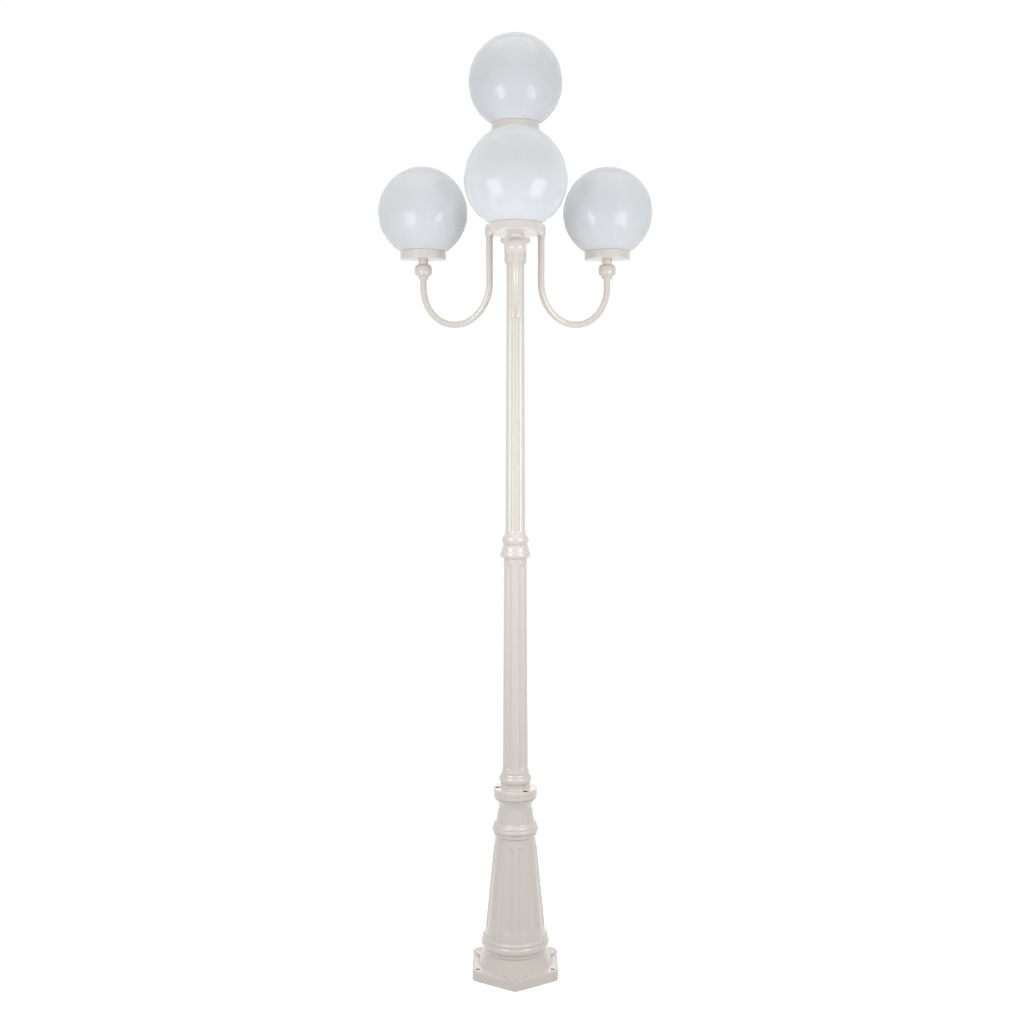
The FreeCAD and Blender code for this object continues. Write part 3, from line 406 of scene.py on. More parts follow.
class Outline:
    """Outline of a turned piece: radius and height, anticlockwise with the axis on the left."""

    ARC_STEP = math.radians(7.0)
    LEAST_STEPS = 3
    CORNER = math.radians(24.0)
    CORNER_SHARE = 0.45
    EASE_STEPS = 4
    HOLD = 0.04

    def __init__(self, r: float, z: float) -> None:
        """Starts at a radius and a height."""
        self.points: list[Point] = [(r, z)]

    @classmethod
    def through(cls, points: list[Point]) -> "Outline":
        """An outline through these points.

        Args:
            points: the points, in order.

        Returns:
            The outline.
        """
        made = cls(*points[0])
        made.points = points
        return made

    @classmethod
    def rod(cls, r: float, low: float, high: float) -> "Outline":
        """A plain rod on the axis, from one height to another."""
        return cls(0.0, low).line(r, low).line(r, high).line(0.0, high)

    @classmethod
    def drill(cls, r: float, low: float, top: float, lip: float) -> "Outline":
        """A drill down from a face to a lower height, which also breaks the hole's edge."""
        drawn = cls(0.0, low).line(r, low).line(r, top - lip).line(r + lip, top)
        return drawn.line(r + 2 * lip, top + OVERCUT).line(0.0, top + OVERCUT)

    def line(self, r: float, z: float, rows: int = 1) -> "Outline":
        """Adds a straight stretch.

        Args:
            r: radius at its end.
            z: height at its end.
            rows: how many equal steps it has.

        Returns:
            The outline itself.
        """
        r0, z0 = self.points[-1]
        for k in range(1, rows + 1):
            self.points.append((r0 + (r - r0) * k / rows, z0 + (z - z0) * k / rows))
        return self

    def arc(self, via: Point, end: Point) -> "Outline":
        """Adds an arc.

        Args:
            via: a point that the arc passes.
            end: where it ends.

        Returns:
            The outline itself.
        """
        (ax, ay), (bx, by), (cx, cy) = self.points[-1], via, end
        det = 2 * (ax * (by - cy) + bx * (cy - ay) + cx * (ay - by))
        aa, bb, cc = ax * ax + ay * ay, bx * bx + by * by, cx * cx + cy * cy
        ox = (aa * (by - cy) + bb * (cy - ay) + cc * (ay - by)) / det
        oy = (aa * (cx - bx) + bb * (ax - cx) + cc * (bx - ax)) / det
        radius = math.hypot(ax - ox, ay - oy)
        start = math.atan2(ay - oy, ax - ox)
        sweep = (math.atan2(cy - oy, cx - ox) - start) % math.tau
        passed = (math.atan2(by - oy, bx - ox) - start) % math.tau
        if passed > sweep:
            sweep -= math.tau
        steps = max(self.LEAST_STEPS, math.ceil(abs(sweep) / self.ARC_STEP))
        for k in range(1, steps):
            turn = start + sweep * k / steps
            self.points.append((ox + radius * math.cos(turn), oy + radius * math.sin(turn)))
        self.points.append(end)
        return self

    def rise(self, r: float, height: float = 0.0, swell: float = 0.0) -> "Outline":
        """Adds a stretch to a radius and so much higher.

        Args:
            r: radius at its end.
            height: how much higher it ends.
            swell: how far its middle stands out from a straight line.

        Returns:
            The outline itself.
        """
        r0, z0 = self.points[-1]
        if not swell:
            return self.line(r, z0 + height)
        chord = math.hypot(r - r0, height)
        via = ((r0 + r) / 2 + swell * height / chord, z0 + height / 2 - swell * (r - r0) / chord)
        return self.arc(via, (r, z0 + height))

    def bands(self, *bands: Band) -> "Outline":
        """Adds the bands of a moulding.

        Args:
            bands: the bands, from below.

        Returns:
            The outline itself.
        """
        for band in bands:
            if band.foot_r is not None:
                self.rise(band.foot_r)
            self.rise(band.top_r, band.height, band.swell)
        return self

    def shoulder(self, edge: float) -> "Outline":
        """Adds a quarter round that closes in by as much as it rises."""
        return self.rise(self.points[-1][0] - edge, edge, edge * QUARTER_SWELL)

    def eased(self, radius: float) -> "Outline":
        """A new outline with its sharp corners rounded by so much, as thick paint does."""
        spots = zip(self.points[-1:] + self.points, self.points, self.points[1:] + self.points[:1])
        return Outline.through([point for spot in spots for point in self.corner(*spot, radius)])

    def corner(self, before: Point, here: Point, after: Point, radius: float) -> list[Point]:
        """Rounds one corner, with a holding point on each side.

        Args:
            before: the point before the corner.
            here: the corner.
            after: the point after the corner.
            radius: the rounding, less where a stretch is short.

        Returns:
            The points that stand for the corner.
        """
        come = Vector(here) - Vector(before)
        leave = Vector(after) - Vector(here)
        if here[0] < MM or come.length < MM or leave.length < MM:
            return [here]
        turn = come.angle(leave)
        if turn < self.CORNER:
            return [here]
        shorter = min(come.length, leave.length)
        reach = min(radius * math.tan(turn / 2), self.CORNER_SHARE * shorter)
        hold = self.HOLD * shorter
        come.normalize()
        leave.normalize()
        start, end = Vector(here) - come * reach, Vector(here) + leave * reach
        points = [start - come * hold]
        for k in range(self.EASE_STEPS + 1):
            t = k / self.EASE_STEPS
            points.append(start * (1 - t) ** 2 + Vector(here) * 2 * t * (1 - t) + end * t * t)
        points.append(end + leave * hold)
        return [tuple(point) for point in points]

    def turned(self, segments: int) -> Mesh:
        """Turns the outline about the Z axis.

        Args:
            segments: steps around the axis.

        Returns:
            A closed mesh with its faces outwards.
        """
        around = [math.tau * k / segments for k in range(segments)]
        places: list[tuple[float, float, float]] = []
        rings: list[list[int]] = []
        for r, z in self.points:
            start = len(places)
            if r < MM:
                rings.append([start] * segments)
                places.append((0.0, 0.0, z * MM))
            else:
                rings.append(list(range(start, start + segments)))
                places.extend((r * MM * math.cos(a), r * MM * math.sin(a), z * MM) for a in around)
        faces = []
        for low, high in zip(rings, rings[1:] + rings[:1]):
            if low[0] == low[-1] and high[0] == high[-1]:
                continue
            for k in range(segments):
                turn = (k + 1) % segments
                faces.append(list(dict.fromkeys((low[k], low[turn], high[turn], high[k]))))
        mesh = bpy.data.meshes.new("turned")
        mesh.from_pydata(places, [], faces)
        return smooth(mesh)


def smooth(mesh: Mesh) -> Mesh:
    """Shades a mesh smooth, with sharp edges where it turns hard.

    Args:
        mesh: the mesh.

    Returns:
        The mesh itself.
    """
    mesh.shade_smooth()
    mesh.set_sharp_from_angle(angle=SMOOTH_LIMIT)
    return mesh


def scratch_object(mesh: Mesh) -> bpy.types.Object:
    """A passing object that holds a mesh while modifiers work it.

    Args:
        mesh: the mesh.

    Returns:
        The object, which is in the scene.
    """
    made = bpy.data.objects.new("blank", mesh)
    bpy.context.scene.collection.objects.link(made)
    return made


def discard(passing: bpy.types.Object) -> None:
    """Removes a passing object and its mesh.

    Args:
        passing: the object.
    """
    mesh = passing.data
    bpy.data.objects.remove(passing)
    bpy.data.meshes.remove(mesh)


def taken_mesh(blank: bpy.types.Object) -> Mesh:
    """Takes the worked mesh off a passing object.

    Args:
        blank: the object, which is removed.

    Returns:
        A plain mesh.
    """
    depsgraph = bpy.context.evaluated_depsgraph_get()
    made = bpy.data.meshes.new_from_object(blank.evaluated_get(depsgraph), depsgraph=depsgraph)
    discard(blank)
    return smooth(made)


def moved(mesh: Mesh, x: float = 0.0, y: float = 0.0, z: float = 0.0) -> Mesh:
    """A copy of a mesh, moved by millimetres.

    Args:
        mesh: the mesh, which stays.
        x: how far along X.
        y: how far along Y.
        z: how far up.

    Returns:
        The copy.
    """
    made = mesh.copy()
    made.transform(Matrix.Translation(Vector((x, y, z)) * MM))
    return made


def spun(mesh: Mesh, degrees: float, axis: str = "Z") -> Mesh:
    """A copy of a mesh, turned about an axis through the origin.

    Args:
        mesh: the mesh, which stays.
        degrees: how far it turns.
        axis: the axis.

    Returns:
        The copy.
    """
    made = mesh.copy()
    made.transform(Matrix.Rotation(math.radians(degrees), 4, axis))
    return made


def laid(mesh: Mesh, x: float, z: float) -> Mesh:
    """A copy of a mesh that stands on the Z axis, laid along +X and moved."""
    return moved(spun(mesh, 90, "Y"), x, 0, z)


def even_turns(count: int, first: float = 0.0) -> list[float]:
    """Angles that share out a full turn, in degrees."""
    return [first + 360.0 * k / count for k in range(count)]


def combined(base: Mesh, steps: Sequence[tuple[Join, Mesh]]) -> Mesh:
    """Adds meshes to a mesh, or cuts them from it.

    Args:
        base: the first mesh, which is used up.
        steps: what is done with each further mesh, in order.

    Returns:
        One closed mesh.
    """
    blank = scratch_object(base)
    others = []
    for how, mesh in steps:
        others.append(scratch_object(mesh))
        modifier = blank.modifiers.new(how.name, "BOOLEAN")
        modifier.operation = how.value
        modifier.solver = "EXACT"
        modifier.object = others[-1]
    made = taken_mesh(blank)
    for other in others:
        discard(other)
    return made


def node_box(node: str) -> tuple[Vector, Vector]:
    """Lowest and highest corner of a node, in millimetres."""
    low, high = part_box(node)
    return low / MM, high / MM


def polygon_prism(loops: Sequence[Sequence[Vector]]) -> Mesh:
    """Closed mesh through loops of as many points each, with a flat face at both ends.

    Args:
        loops: the loops in millimetres, lowest first, each anticlockwise from above.

    Returns:
        The mesh.
    """
    count = len(loops[0])
    last = count * (len(loops) - 1)
    faces = [list(reversed(range(count)))]
    for low in range(0, last, count):
        for k in range(count):
            turn = (k + 1) % count
            faces.append([low + k, low + turn, low + count + turn, low + count + k])
    faces.append(list(range(last, last + count)))
    mesh = bpy.data.meshes.new("prism")
    mesh.from_pydata([point * MM for loop in loops for point in loop], [], faces)
    return smooth(mesh)


def keyed(screw: Mesh, key: float, floor: float, top: float) -> Mesh:
    """Cuts the socket of a hexagonal key into a screw that stands on the Z axis.

    Args:
        screw: the screw, which is used up.
        key: the key's width across its flats.
        floor: height of the socket's floor.
        top: height of the screw's top.

    Returns:
        The screw.
    """
    corner_r = key / math.sqrt(3)
    turns = [math.radians(turn) for turn in even_turns(HEX_SIDES)]
    corners = [(corner_r * math.cos(turn), corner_r * math.sin(turn)) for turn in turns]
    loops = [[Vector((x, y, z)) for x, y in corners] for z in (floor, top + OVERCUT)]
    return combined(screw, [(Join.TAKE, polygon_prism(loops))])


@dataclass(frozen=True)
class Finish:
    """What every finish has. A finish draws its own surface.

    The tones are the darkest and the lightest gain of its colour. The sheen is how much its
    roughness changes, and the relief is what a bump of 1 is, in millimetres. Each noise is given
    by its spots in a metre and its octaves.
    """

    name: str
    slot: str
    colour: Colour
    roughness: float
    tones: Point = (0.98, 1.02)
    sheen: float = 0.08
    relief: float = 1.0

    def material(self) -> bpy.types.Material:
        """The finish as a material, made once.

        Returns:
            The material.
        """
        made = bpy.data.materials.get(self.name)
        if made is None:
            made = bpy.data.materials.new(self.name)
            made.use_nodes = True
            made.node_tree.nodes.clear()
            graph = Graph(made.node_tree)
            graph.node("ShaderNodeOutputMaterial", {"Surface": self.surface(graph)})
        return made

    def surface(self, graph: Graph) -> Signal:
        """Draws the surface; each finish has its own."""
        raise NotImplementedError

    @staticmethod
    def grain(graph: Graph, scale: float, detail: float, stretch: Colour = WHITE) -> Signal:
        """Noise on the piece's own coordinates.

        Args:
            graph: the material's tree.
            scale: spots in a metre.
            detail: octaves.
            stretch: how the coordinates are scaled first.

        Returns:
            A value about 0.5.
        """
        place = graph.value("ShaderNodeTexCoord", out="Object")
        if stretch != WHITE:
            place = graph.value("ShaderNodeMapping", {"Vector": place, "Scale": stretch})
        sockets = {"Vector": place, "Scale": scale, "Detail": detail, "Roughness": NOISE_ROUGHNESS}
        return graph.value("ShaderNodeTexNoise", sockets)

    def tone(self, gain: float) -> tuple[float, float, float, float]:
        """The finish's colour, lighter or darker."""
        return (*(min(1.0, part * gain) for part in self.colour), 1.0)

    def blend(self, graph: Graph, share: Signal) -> Signal:
        """The finish's colour, from its darkest to its lightest tone."""
        return graph.mix(share, self.tone(self.tones[0]), self.tone(self.tones[1]))

    def rough(self, noise: Signal) -> Signal:
        """The finish's roughness, which a noise changes."""
        return self.roughness + (noise - 0.5) * self.sheen

    def bump(self, graph: Graph, height: Signal) -> Signal:
        """The finish's normal, from a height."""
        sockets = {"Strength": 1.0, "Distance": self.relief * MM, "Height": height}
        return graph.value("ShaderNodeBump", sockets)


@dataclass(frozen=True)
class PowderCoat(Finish):
    """Gloss powder paint on castings: orange peel, slow waves and a faint change of tone."""

    drift: Point = (7.0, 3.0)
    speck: Point = (2600.0, 1.0)
    speck_share: float = 0.2
    speck_sheen: float = 0.05
    wave: Point = (34.0, 1.0)
    wave_depth: float = 0.05
    peel: Point = (620.0, 1.0)
    peel_depth: float = 0.016
    ior: float = 1.52
    coat: float = 0.85
    coat_roughness: float = 0.03

    def surface(self, graph: Graph) -> Signal:
        """Draws the paint.

        Args:
            graph: the material's tree.

        Returns:
            The shader.
        """
        noises = (self.drift, self.speck, self.wave, self.peel)
        drift, speck, wave, peel = (self.grain(graph, *noise) for noise in noises)
        share = drift * (1.0 - self.speck_share) + speck * self.speck_share
        height = peel * self.peel_depth + wave * self.wave_depth
        sockets = {
            "Base Color": self.blend(graph, share),
            "Roughness": self.rough(wave) + (speck - 0.5) * self.speck_sheen,
            "Normal": self.bump(graph, height),
            "IOR": self.ior,
            "Coat Weight": self.coat,
            "Coat Roughness": self.coat_roughness,
        }
        return graph.value("ShaderNodeBsdfPrincipled", sockets)


@dataclass(frozen=True)
class OpalAcrylic(Finish):
    """Opal acrylic: a glossy skin over a milky body, in which light spreads far."""

    tones: Point = (0.985, 1.015)
    sheen: float = 0.02
    relief: float = 0.003
    flow: Point = (14.0, 2.0)
    ripple: Point = (55.0, 1.0)
    ior: float = 1.49
    shine: float = 0.33
    milk: float = 1.0
    spread: float = 0.006

    def surface(self, graph: Graph) -> Signal:
        """Draws the acrylic.

        Args:
            graph: the material's tree.

        Returns:
            The shader.
        """
        flow = self.grain(graph, *self.flow)
        sockets = {
            "Base Color": self.blend(graph, flow),
            "Roughness": self.rough(flow),
            "Normal": self.bump(graph, self.grain(graph, *self.ripple)),
            "IOR": self.ior,
            "Specular IOR Level": self.shine,
            "Subsurface Weight": self.milk,
            "Subsurface Radius": WHITE,
            "Subsurface Scale": self.spread,
        }
        return graph.value("ShaderNodeBsdfPrincipled", sockets)


@dataclass(frozen=True)
class BareMetal(Finish):
    """Metal with fine turning marks and stains in its roughness."""

    tones: Point = (0.82, 1.072)
    sheen: float = 0.2
    relief: float = 0.006
    marks: Point = (900.0, 2.0)
    mark_stretch: Colour = (0.08, 0.08, 1.0)
    stain: Point = (120.0, 4.0)
    stain_sheen: float = 0.15

    def surface(self, graph: Graph) -> Signal:
        """Draws the metal.

        Args:
            graph: the material's tree.

        Returns:
            The shader.
        """
        marks = self.grain(graph, *self.marks, self.mark_stretch)
        stain = self.grain(graph, *self.stain)
        sockets = {
            "Base Color": self.blend(graph, stain),
            "Metallic": 1.0,
            "Roughness": self.rough(marks) + (stain - 0.5) * self.stain_sheen,
            "Normal": self.bump(graph, marks),
        }
        return graph.value("ShaderNodeBsdfPrincipled", sockets)


@dataclass(frozen=True)
class Rubber(Finish):
    """Moulded rubber: matt, with a bloom and a fine skin."""

    tones: Point = (0.8, 1.5)
    sheen: float = 0.2
    relief: float = 0.03
    bloom: Point = (90.0, 4.0)
    skin: Point = (1800.0, 2.0)

    def surface(self, graph: Graph) -> Signal:
        """Draws the rubber.

        Args:
            graph: the material's tree.

        Returns:
            The shader.
        """
        bloom = self.grain(graph, *self.bloom)
        sockets = {
            "Base Color": self.blend(graph, bloom),
            "Roughness": self.rough(bloom),
            "Normal": self.bump(graph, self.grain(graph, *self.skin)),
        }
        return graph.value("ShaderNodeBsdfPrincipled", sockets)


@dataclass(frozen=True)
class Porcelain(Finish):
    """Glazed porcelain: a wet gloss over a white body with few pin specks."""

    tones: Point = (0.96, 1.03)
    relief: float = 0.05
    pool: Point = (60.0, 2.0)
    specks: Point = (1500.0, 0.0)
    speck_edge: Point = (0.74, 0.78)
    speck_share: float = 0.5
    speck_tone: float = 0.6
    coat: float = 0.6
    coat_roughness: float = 0.04

    def surface(self, graph: Graph) -> Signal:
        """Draws the glaze.

        Args:
            graph: the material's tree.

        Returns:
            The shader.
        """
        pool = self.grain(graph, *self.pool)
        ramp = graph.node("ShaderNodeValToRGB", {"Fac": self.grain(graph, *self.specks)})
        for stop, place in zip(ramp.color_ramp.elements, self.speck_edge):
            stop.position = place
        share = Signal(graph, ramp.outputs[0]) * self.speck_share
        sockets = {
            "Base Color": graph.mix(share, self.blend(graph, pool), self.tone(self.speck_tone)),
            "Roughness": self.rough(pool),
            "Normal": self.bump(graph, pool),
            "Coat Weight": self.coat,
            "Coat Roughness": self.coat_roughness,
        }
        return graph.value("ShaderNodeBsdfPrincipled", sockets)


@dataclass(frozen=True)
class FrostedGlass(Finish):
    """Lamp glass, frosted inside: a white veil with a smooth outer skin."""

    tones: Point = (0.97, 1.02)
    sheen: float = 0.06
    cloud: Point = (70.0, 3.0)
    ior: float = 1.5
    veil: float = 0.5

    def surface(self, graph: Graph) -> Signal:
        """Draws the frosted glass.

        Args:
            graph: the material's tree.

        Returns:
            The shader.
        """
        cloud = self.grain(graph, *self.cloud)
        colour = self.blend(graph, cloud)
        sockets = {"Base Color": colour, "Roughness": self.rough(cloud), "IOR": self.ior}
        skin = graph.value("ShaderNodeBsdfPrincipled", sockets)
        milk = graph.value("ShaderNodeBsdfTranslucent", {"Color": colour})
        return graph.value("ShaderNodeMixShader", {0: self.veil, 1: skin, 2: milk})


@dataclass(frozen=True)
class StudioPaper(Finish):
    """Pale floor. A viewer's ray sees it near white, and it keeps the shadow of what stands on it."""

    tones: Point = (0.995, 1.005)
    fibre: Point = (220.0, 3.0)
    own_light: float = 0.62

    def surface(self, graph: Graph) -> Signal:
        """Draws the paper: a diffuse sheet, with a share of even white for rays that look at it.

        Args:
            graph: the material's tree.

        Returns:
            The shader.
        """
        colour = self.blend(graph, self.grain(graph, *self.fibre))
        sheet = graph.value("ShaderNodeBsdfDiffuse", {"Color": colour, "Roughness": self.roughness})
        glow = graph.value("ShaderNodeEmission", {"Color": (*WHITE, 1.0), "Strength": self.own_light})
        both = graph.value("ShaderNodeAddShader", {0: sheet, 1: glow})
        return graph.value("ShaderNodeMixShader", {0: looking(graph), 1: sheet, 2: both})


def looking(graph: Graph) -> Signal:
    """One for a ray from a viewer, straight or by a mirror or glass, and zero for a ray of light.

    Args:
        graph: the tree that asks.

    Returns:
        The value.
    """
    path = graph.node("ShaderNodeLightPath")
    names = ("Is Camera Ray", "Is Glossy Ray", "Is Transmission Ray")
    straight, mirrored, passed = (Signal(graph, path.outputs[name]) for name in names)
    return graph.math("MAXIMUM", graph.math("MAXIMUM", straight, mirrored), passed)


CREAM_PAINT = PowderCoat("cream_powder_coat", "cream_paint", (0.715, 0.66, 0.602), 0.3)
OPAL = OpalAcrylic("milky_acrylic", "opal_acrylic", (0.825, 0.863, 0.985), 0.02)
BLACK_STEEL = BareMetal("blackened_steel", "black_steel", (0.035, 0.033, 0.032), 0.42)
ZINC_STEEL = BareMetal("zinc_plated_steel", "zinc_steel", (0.55, 0.56, 0.55), 0.34)
RUBBER = Rubber("moulded_rubber", "black_rubber", (0.018, 0.018, 0.019), 0.7)
PORCELAIN = Porcelain("glazed_porcelain", "white_porcelain", (0.83, 0.82, 0.79), 0.14)
BRASS = BareMetal("rolled_brass", "contact_brass", (0.72, 0.52, 0.24), 0.3)
CAP_METAL = BareMetal("lamp_cap_aluminium", "lamp_cap_metal", (0.76, 0.76, 0.75), 0.28)
GLASS = FrostedGlass("frosted_lamp_glass", "frosted_glass", (0.86, 0.86, 0.84), 0.2)
PAPER = StudioPaper("pale_paper", "floor", (0.82, 0.82, 0.82), 0.5)


def set_piece(mesh: Mesh, name: str, body: str, finish: Finish, *nodes: str) -> None:
    """Puts a finished mesh into the scene.

    Args:
        mesh: the mesh, already in its place.
        name: the piece's name.
        body: the body that it moves with.
        finish: what it is made of.
        nodes: the nodes that it stands for.
    """
    mesh.name = name
    mesh.materials.clear()
    mesh.materials.append(finish.material())
    piece = bpy.data.objects.new(name, mesh)
    bpy.context.scene.collection.objects.link(piece)
    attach(piece, body)
    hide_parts(*nodes)
    LOG.info("%s rides %s, %d faces, %s", name, body, len(mesh.polygons), finish.name)


def paint_node(node: str, finish: Finish) -> None:
    """Gives a node that stays its finish.

    Args:
        node: the node.
        finish: what it is made of.
    """
    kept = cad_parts[node]
    if not kept.material_slots:
        kept.data.materials.append(finish.material())
    for slot in kept.material_slots:
        slot.material = finish.material()
    LOG.info("%s stays, %s", node, finish.name)


@dataclass(frozen=True)
class FluteEnd:
    """One end of a flute. The tip is where its rounded end runs out on the body."""

    body_r: float
    tip_z: float
    width: float
    depth: float

    def ball(self) -> float:
        """Radius of the cutter's ball."""
        below = self.depth - self.body_r + math.sqrt(self.body_r ** 2 - (self.width / 2) ** 2)
        return ((self.width / 2) ** 2 + below ** 2) / (2 * below)

    def run_out(self) -> float:
        """Length of the rounded end."""
        return math.sqrt(2 * self.ball() * self.depth - self.depth ** 2)

    def axis(self) -> float:
        """Radius of the cutter's axis."""
        return self.body_r - self.depth + self.ball()


@dataclass(frozen=True)
class Fluting:
    """A ring of flutes on a tapered shaft, with a land between two flutes at the front."""

    count: int
    low: FluteEnd
    high: FluteEnd
    soft: float = 1.0
    end_rows: int = 14
    long_rows: int = 10

    def taper(self, outline: Outline, r: float, z: float) -> Outline:
        """Adds a straight taper with close rows where the flutes end.

        Args:
            outline: the outline, which stands at the taper's foot.
            r: radius at the taper's top.
            z: height of the taper's top.

        Returns:
            The outline.
        """
        r0, z0 = outline.points[-1]
        slope = (r - r0) / (z - z0)
        margin = 2 * self.soft
        stops = (
            (self.low.tip_z - margin, 1),
            (self.low.tip_z + self.low.run_out(), self.end_rows),
            (self.high.tip_z - self.high.run_out(), self.long_rows),
            (min(self.high.tip_z + margin, z), self.end_rows),
        )
        for stop, rows in stops:
            if stop > outline.points[-1][1]:
                outline.line(r0 + slope * (stop - z0), stop, rows)
        if z > outline.points[-1][1]:
            outline.line(r, z)
        return outline

    def cut(self, mesh: Mesh) -> Mesh:
        """Cuts the flutes into a turned and painted blank.

        Args:
            mesh: the blank.

        Returns:
            The fluted mesh.
        """
        lengths = {"Soft Edge": self.soft}
        for word, end, inwards in (("Low ", self.low, 1), ("High ", self.high, -1)):
            lengths[word + "Z"] = end.tip_z + inwards * end.run_out()
            lengths[word + "Axis"] = end.axis()
            lengths[word + "Ball"] = end.ball()
        others = {"Count": self.count, "First Turn": math.radians(180.0 / self.count - 90.0)}
        return FLUTES.apply(mesh, CREAM_PAINT, lengths, others)


@dataclass(frozen=True)
class Pedestal:
    """Cast pedestal: hexagonal foot with gussets, rings of beads, fluted taper, neck and flange."""

    foot_corner_r: float = 135.4
    foot_t: float = 28.0
    foot_corner_round: float = 20.0
    foot_least_round: float = 1.0
    foot_corner_steps: int = 10
    foot_edge_round: float = 6.0
    foot_edge_steps: int = 6
    foot_edge_hold: float = 0.5
    foot_break: float = 0.8
    foot_overcut: float = 5.0
    bore_r: float = 78.0
    anchor_pcd: float = 235.0
    anchor_hole_r: float = 5.5
    anchor_count: int = 3
    anchor_turn: float = -30.0
    hole_lip: float = 0.9
    gusset_root_w: float = 65.0
    gusset_tip_w: float = 20.0
    gusset_root_rise: float = 4.8
    gusset_tip_rise: float = 1.4
    gusset_tip_in: float = 1.2
    gusset_sink: float = 4.0
    gusset_round: float = 1.4
    gusset_round_steps: int = 3
    skirt_foot_r: float = 101.0
    skirt: Band = Band(86.7, 37.5)
    cove: float = 3.0
    cove_swell: float = -0.75
    cove_gap: float = 0.4
    low_fillet: Band = Band(87.2, 11.3, 1.8, 87.9)
    low_bead: Band = Band(88.9, 19.2, 4.1, 90.6)
    low_ovolo: Band = Band(83.5, 11.0, 3.5)
    taper: Band = Band(55.5, 279.2)
    high_fillet: Band = Band(57.8, 11.0, 2.2, 58.8)
    high_bead: Band = Band(61.1, 11.5, 3.2, 60.4)
    high_ovolo: Band = Band(55.1, 12.0, 1.7)
    flare: Band = Band(52.8, 7.2, -0.6)
    neck: Band = Band(46.2, 38.0)
    cavetto: Band = Band(55.6, 20.9, -1.2)
    ledge: Band = Band(57.0, 3.7, 1.4, 57.0)
    ledge_groove: Band = Band(54.0, 1.5, 0.0, 54.0)
    flange_r: float = 60.0
    flange_break: float = 1.5
    wall: float = 10.0
    neck_bore_r: float = 38.0
    flute_depth: float = 4.5
    flute_foot_w: float = 29.0
    flute_top_w: float = 20.5
    flute_foot_gap: float = 23.0
    flute_top_gap: float = 19.0
    flute_end_l: float = 18.0
    flutes: int = 12
    paint_round: float = 0.9

    def taper_z(self) -> float:
        """Height of the taper's foot."""
        below = (self.skirt, self.low_fillet, self.low_bead, self.low_ovolo)
        return sum((band.height for band in below), self.foot_t)

    def fluting(self) -> Fluting:
        """The flutes of the taper, each end set by the taper's radius where its round begins.

        Returns:
            The flutes.
        """
        foot_z, foot_r, top_r = self.taper_z(), self.low_ovolo.top_r, self.taper.top_r
        lean = (foot_r - top_r) / self.taper.height
        low_r = foot_r - lean * (self.flute_foot_gap + self.flute_end_l)
        high_r = top_r + lean * (self.flute_top_gap + self.flute_end_l)
        high_z = foot_z + self.taper.height - self.flute_top_gap
        low = FluteEnd(low_r, foot_z + self.flute_foot_gap, self.flute_foot_w, self.flute_depth)
        high = FluteEnd(high_r, high_z, self.flute_top_w, self.flute_depth)
        return Fluting(self.flutes, low, high)

    def outline(self, top: float) -> Outline:
        """Outline of the turned body.

        Args:
            top: height of the flange's top face.

        Returns:
            The outline, with its bore.
        """
        foot_r, skirt_z = self.skirt_foot_r, self.foot_t + self.skirt.height
        lean = (foot_r - self.skirt.top_r) / self.skirt.height
        taper_z, taper_top = self.taper_z(), self.taper_z() + self.taper.height
        drawn = Outline(self.bore_r, 0.0).line(foot_r, 0.0).line(foot_r, self.foot_t - self.cove_gap)
        drawn.line(foot_r + self.cove, self.foot_t)
        drawn.rise(foot_r - lean * self.cove, self.cove, self.cove_swell)
        drawn.line(self.skirt.top_r, skirt_z).bands(self.low_fillet, self.low_bead, self.low_ovolo)
        self.fluting().taper(drawn, self.taper.top_r, taper_top)
        drawn.bands(self.high_fillet, self.high_bead, self.high_ovolo, self.flare)
        neck_z = drawn.points[-1][1]
        drawn.bands(self.neck, self.cavetto, self.ledge, self.ledge_groove).rise(self.flange_r)
        drawn.line(self.flange_r, top - self.flange_break).line(self.flange_r - self.flange_break, top)
        drawn.line(self.neck_bore_r, top).line(self.neck_bore_r, neck_z)
        drawn.line(self.taper.top_r - self.wall, taper_top)
        drawn.line(self.low_ovolo.top_r - self.wall, taper_z).line(self.bore_r, skirt_z)
        return drawn.eased(self.paint_round)

    def hexagon(self, inset: float, z: float) -> list[Vector]:
        """Rounded hexagon with a corner to the front.

        Args:
            inset: how far its sides stand inside the foot's sides.
            z: its height.

        Returns:
            Its points, anticlockwise.
        """
        side_r = self.foot_corner_r * math.cos(HALF_SIXTH) - inset
        rounding = max(self.foot_corner_round - inset, self.foot_least_round)
        centre_r = (side_r - rounding) / math.cos(HALF_SIXTH)
        points = []
        for corner in even_turns(HEX_SIDES, -90.0):
            middle = math.radians(corner)
            for k in range(self.foot_corner_steps + 1):
                turn = middle + 2 * HALF_SIXTH * (k / self.foot_corner_steps - 0.5)
                x = centre_r * math.cos(middle) + rounding * math.cos(turn)
                y = centre_r * math.sin(middle) + rounding * math.sin(turn)
                points.append(Vector((x, y, z)))
        return points

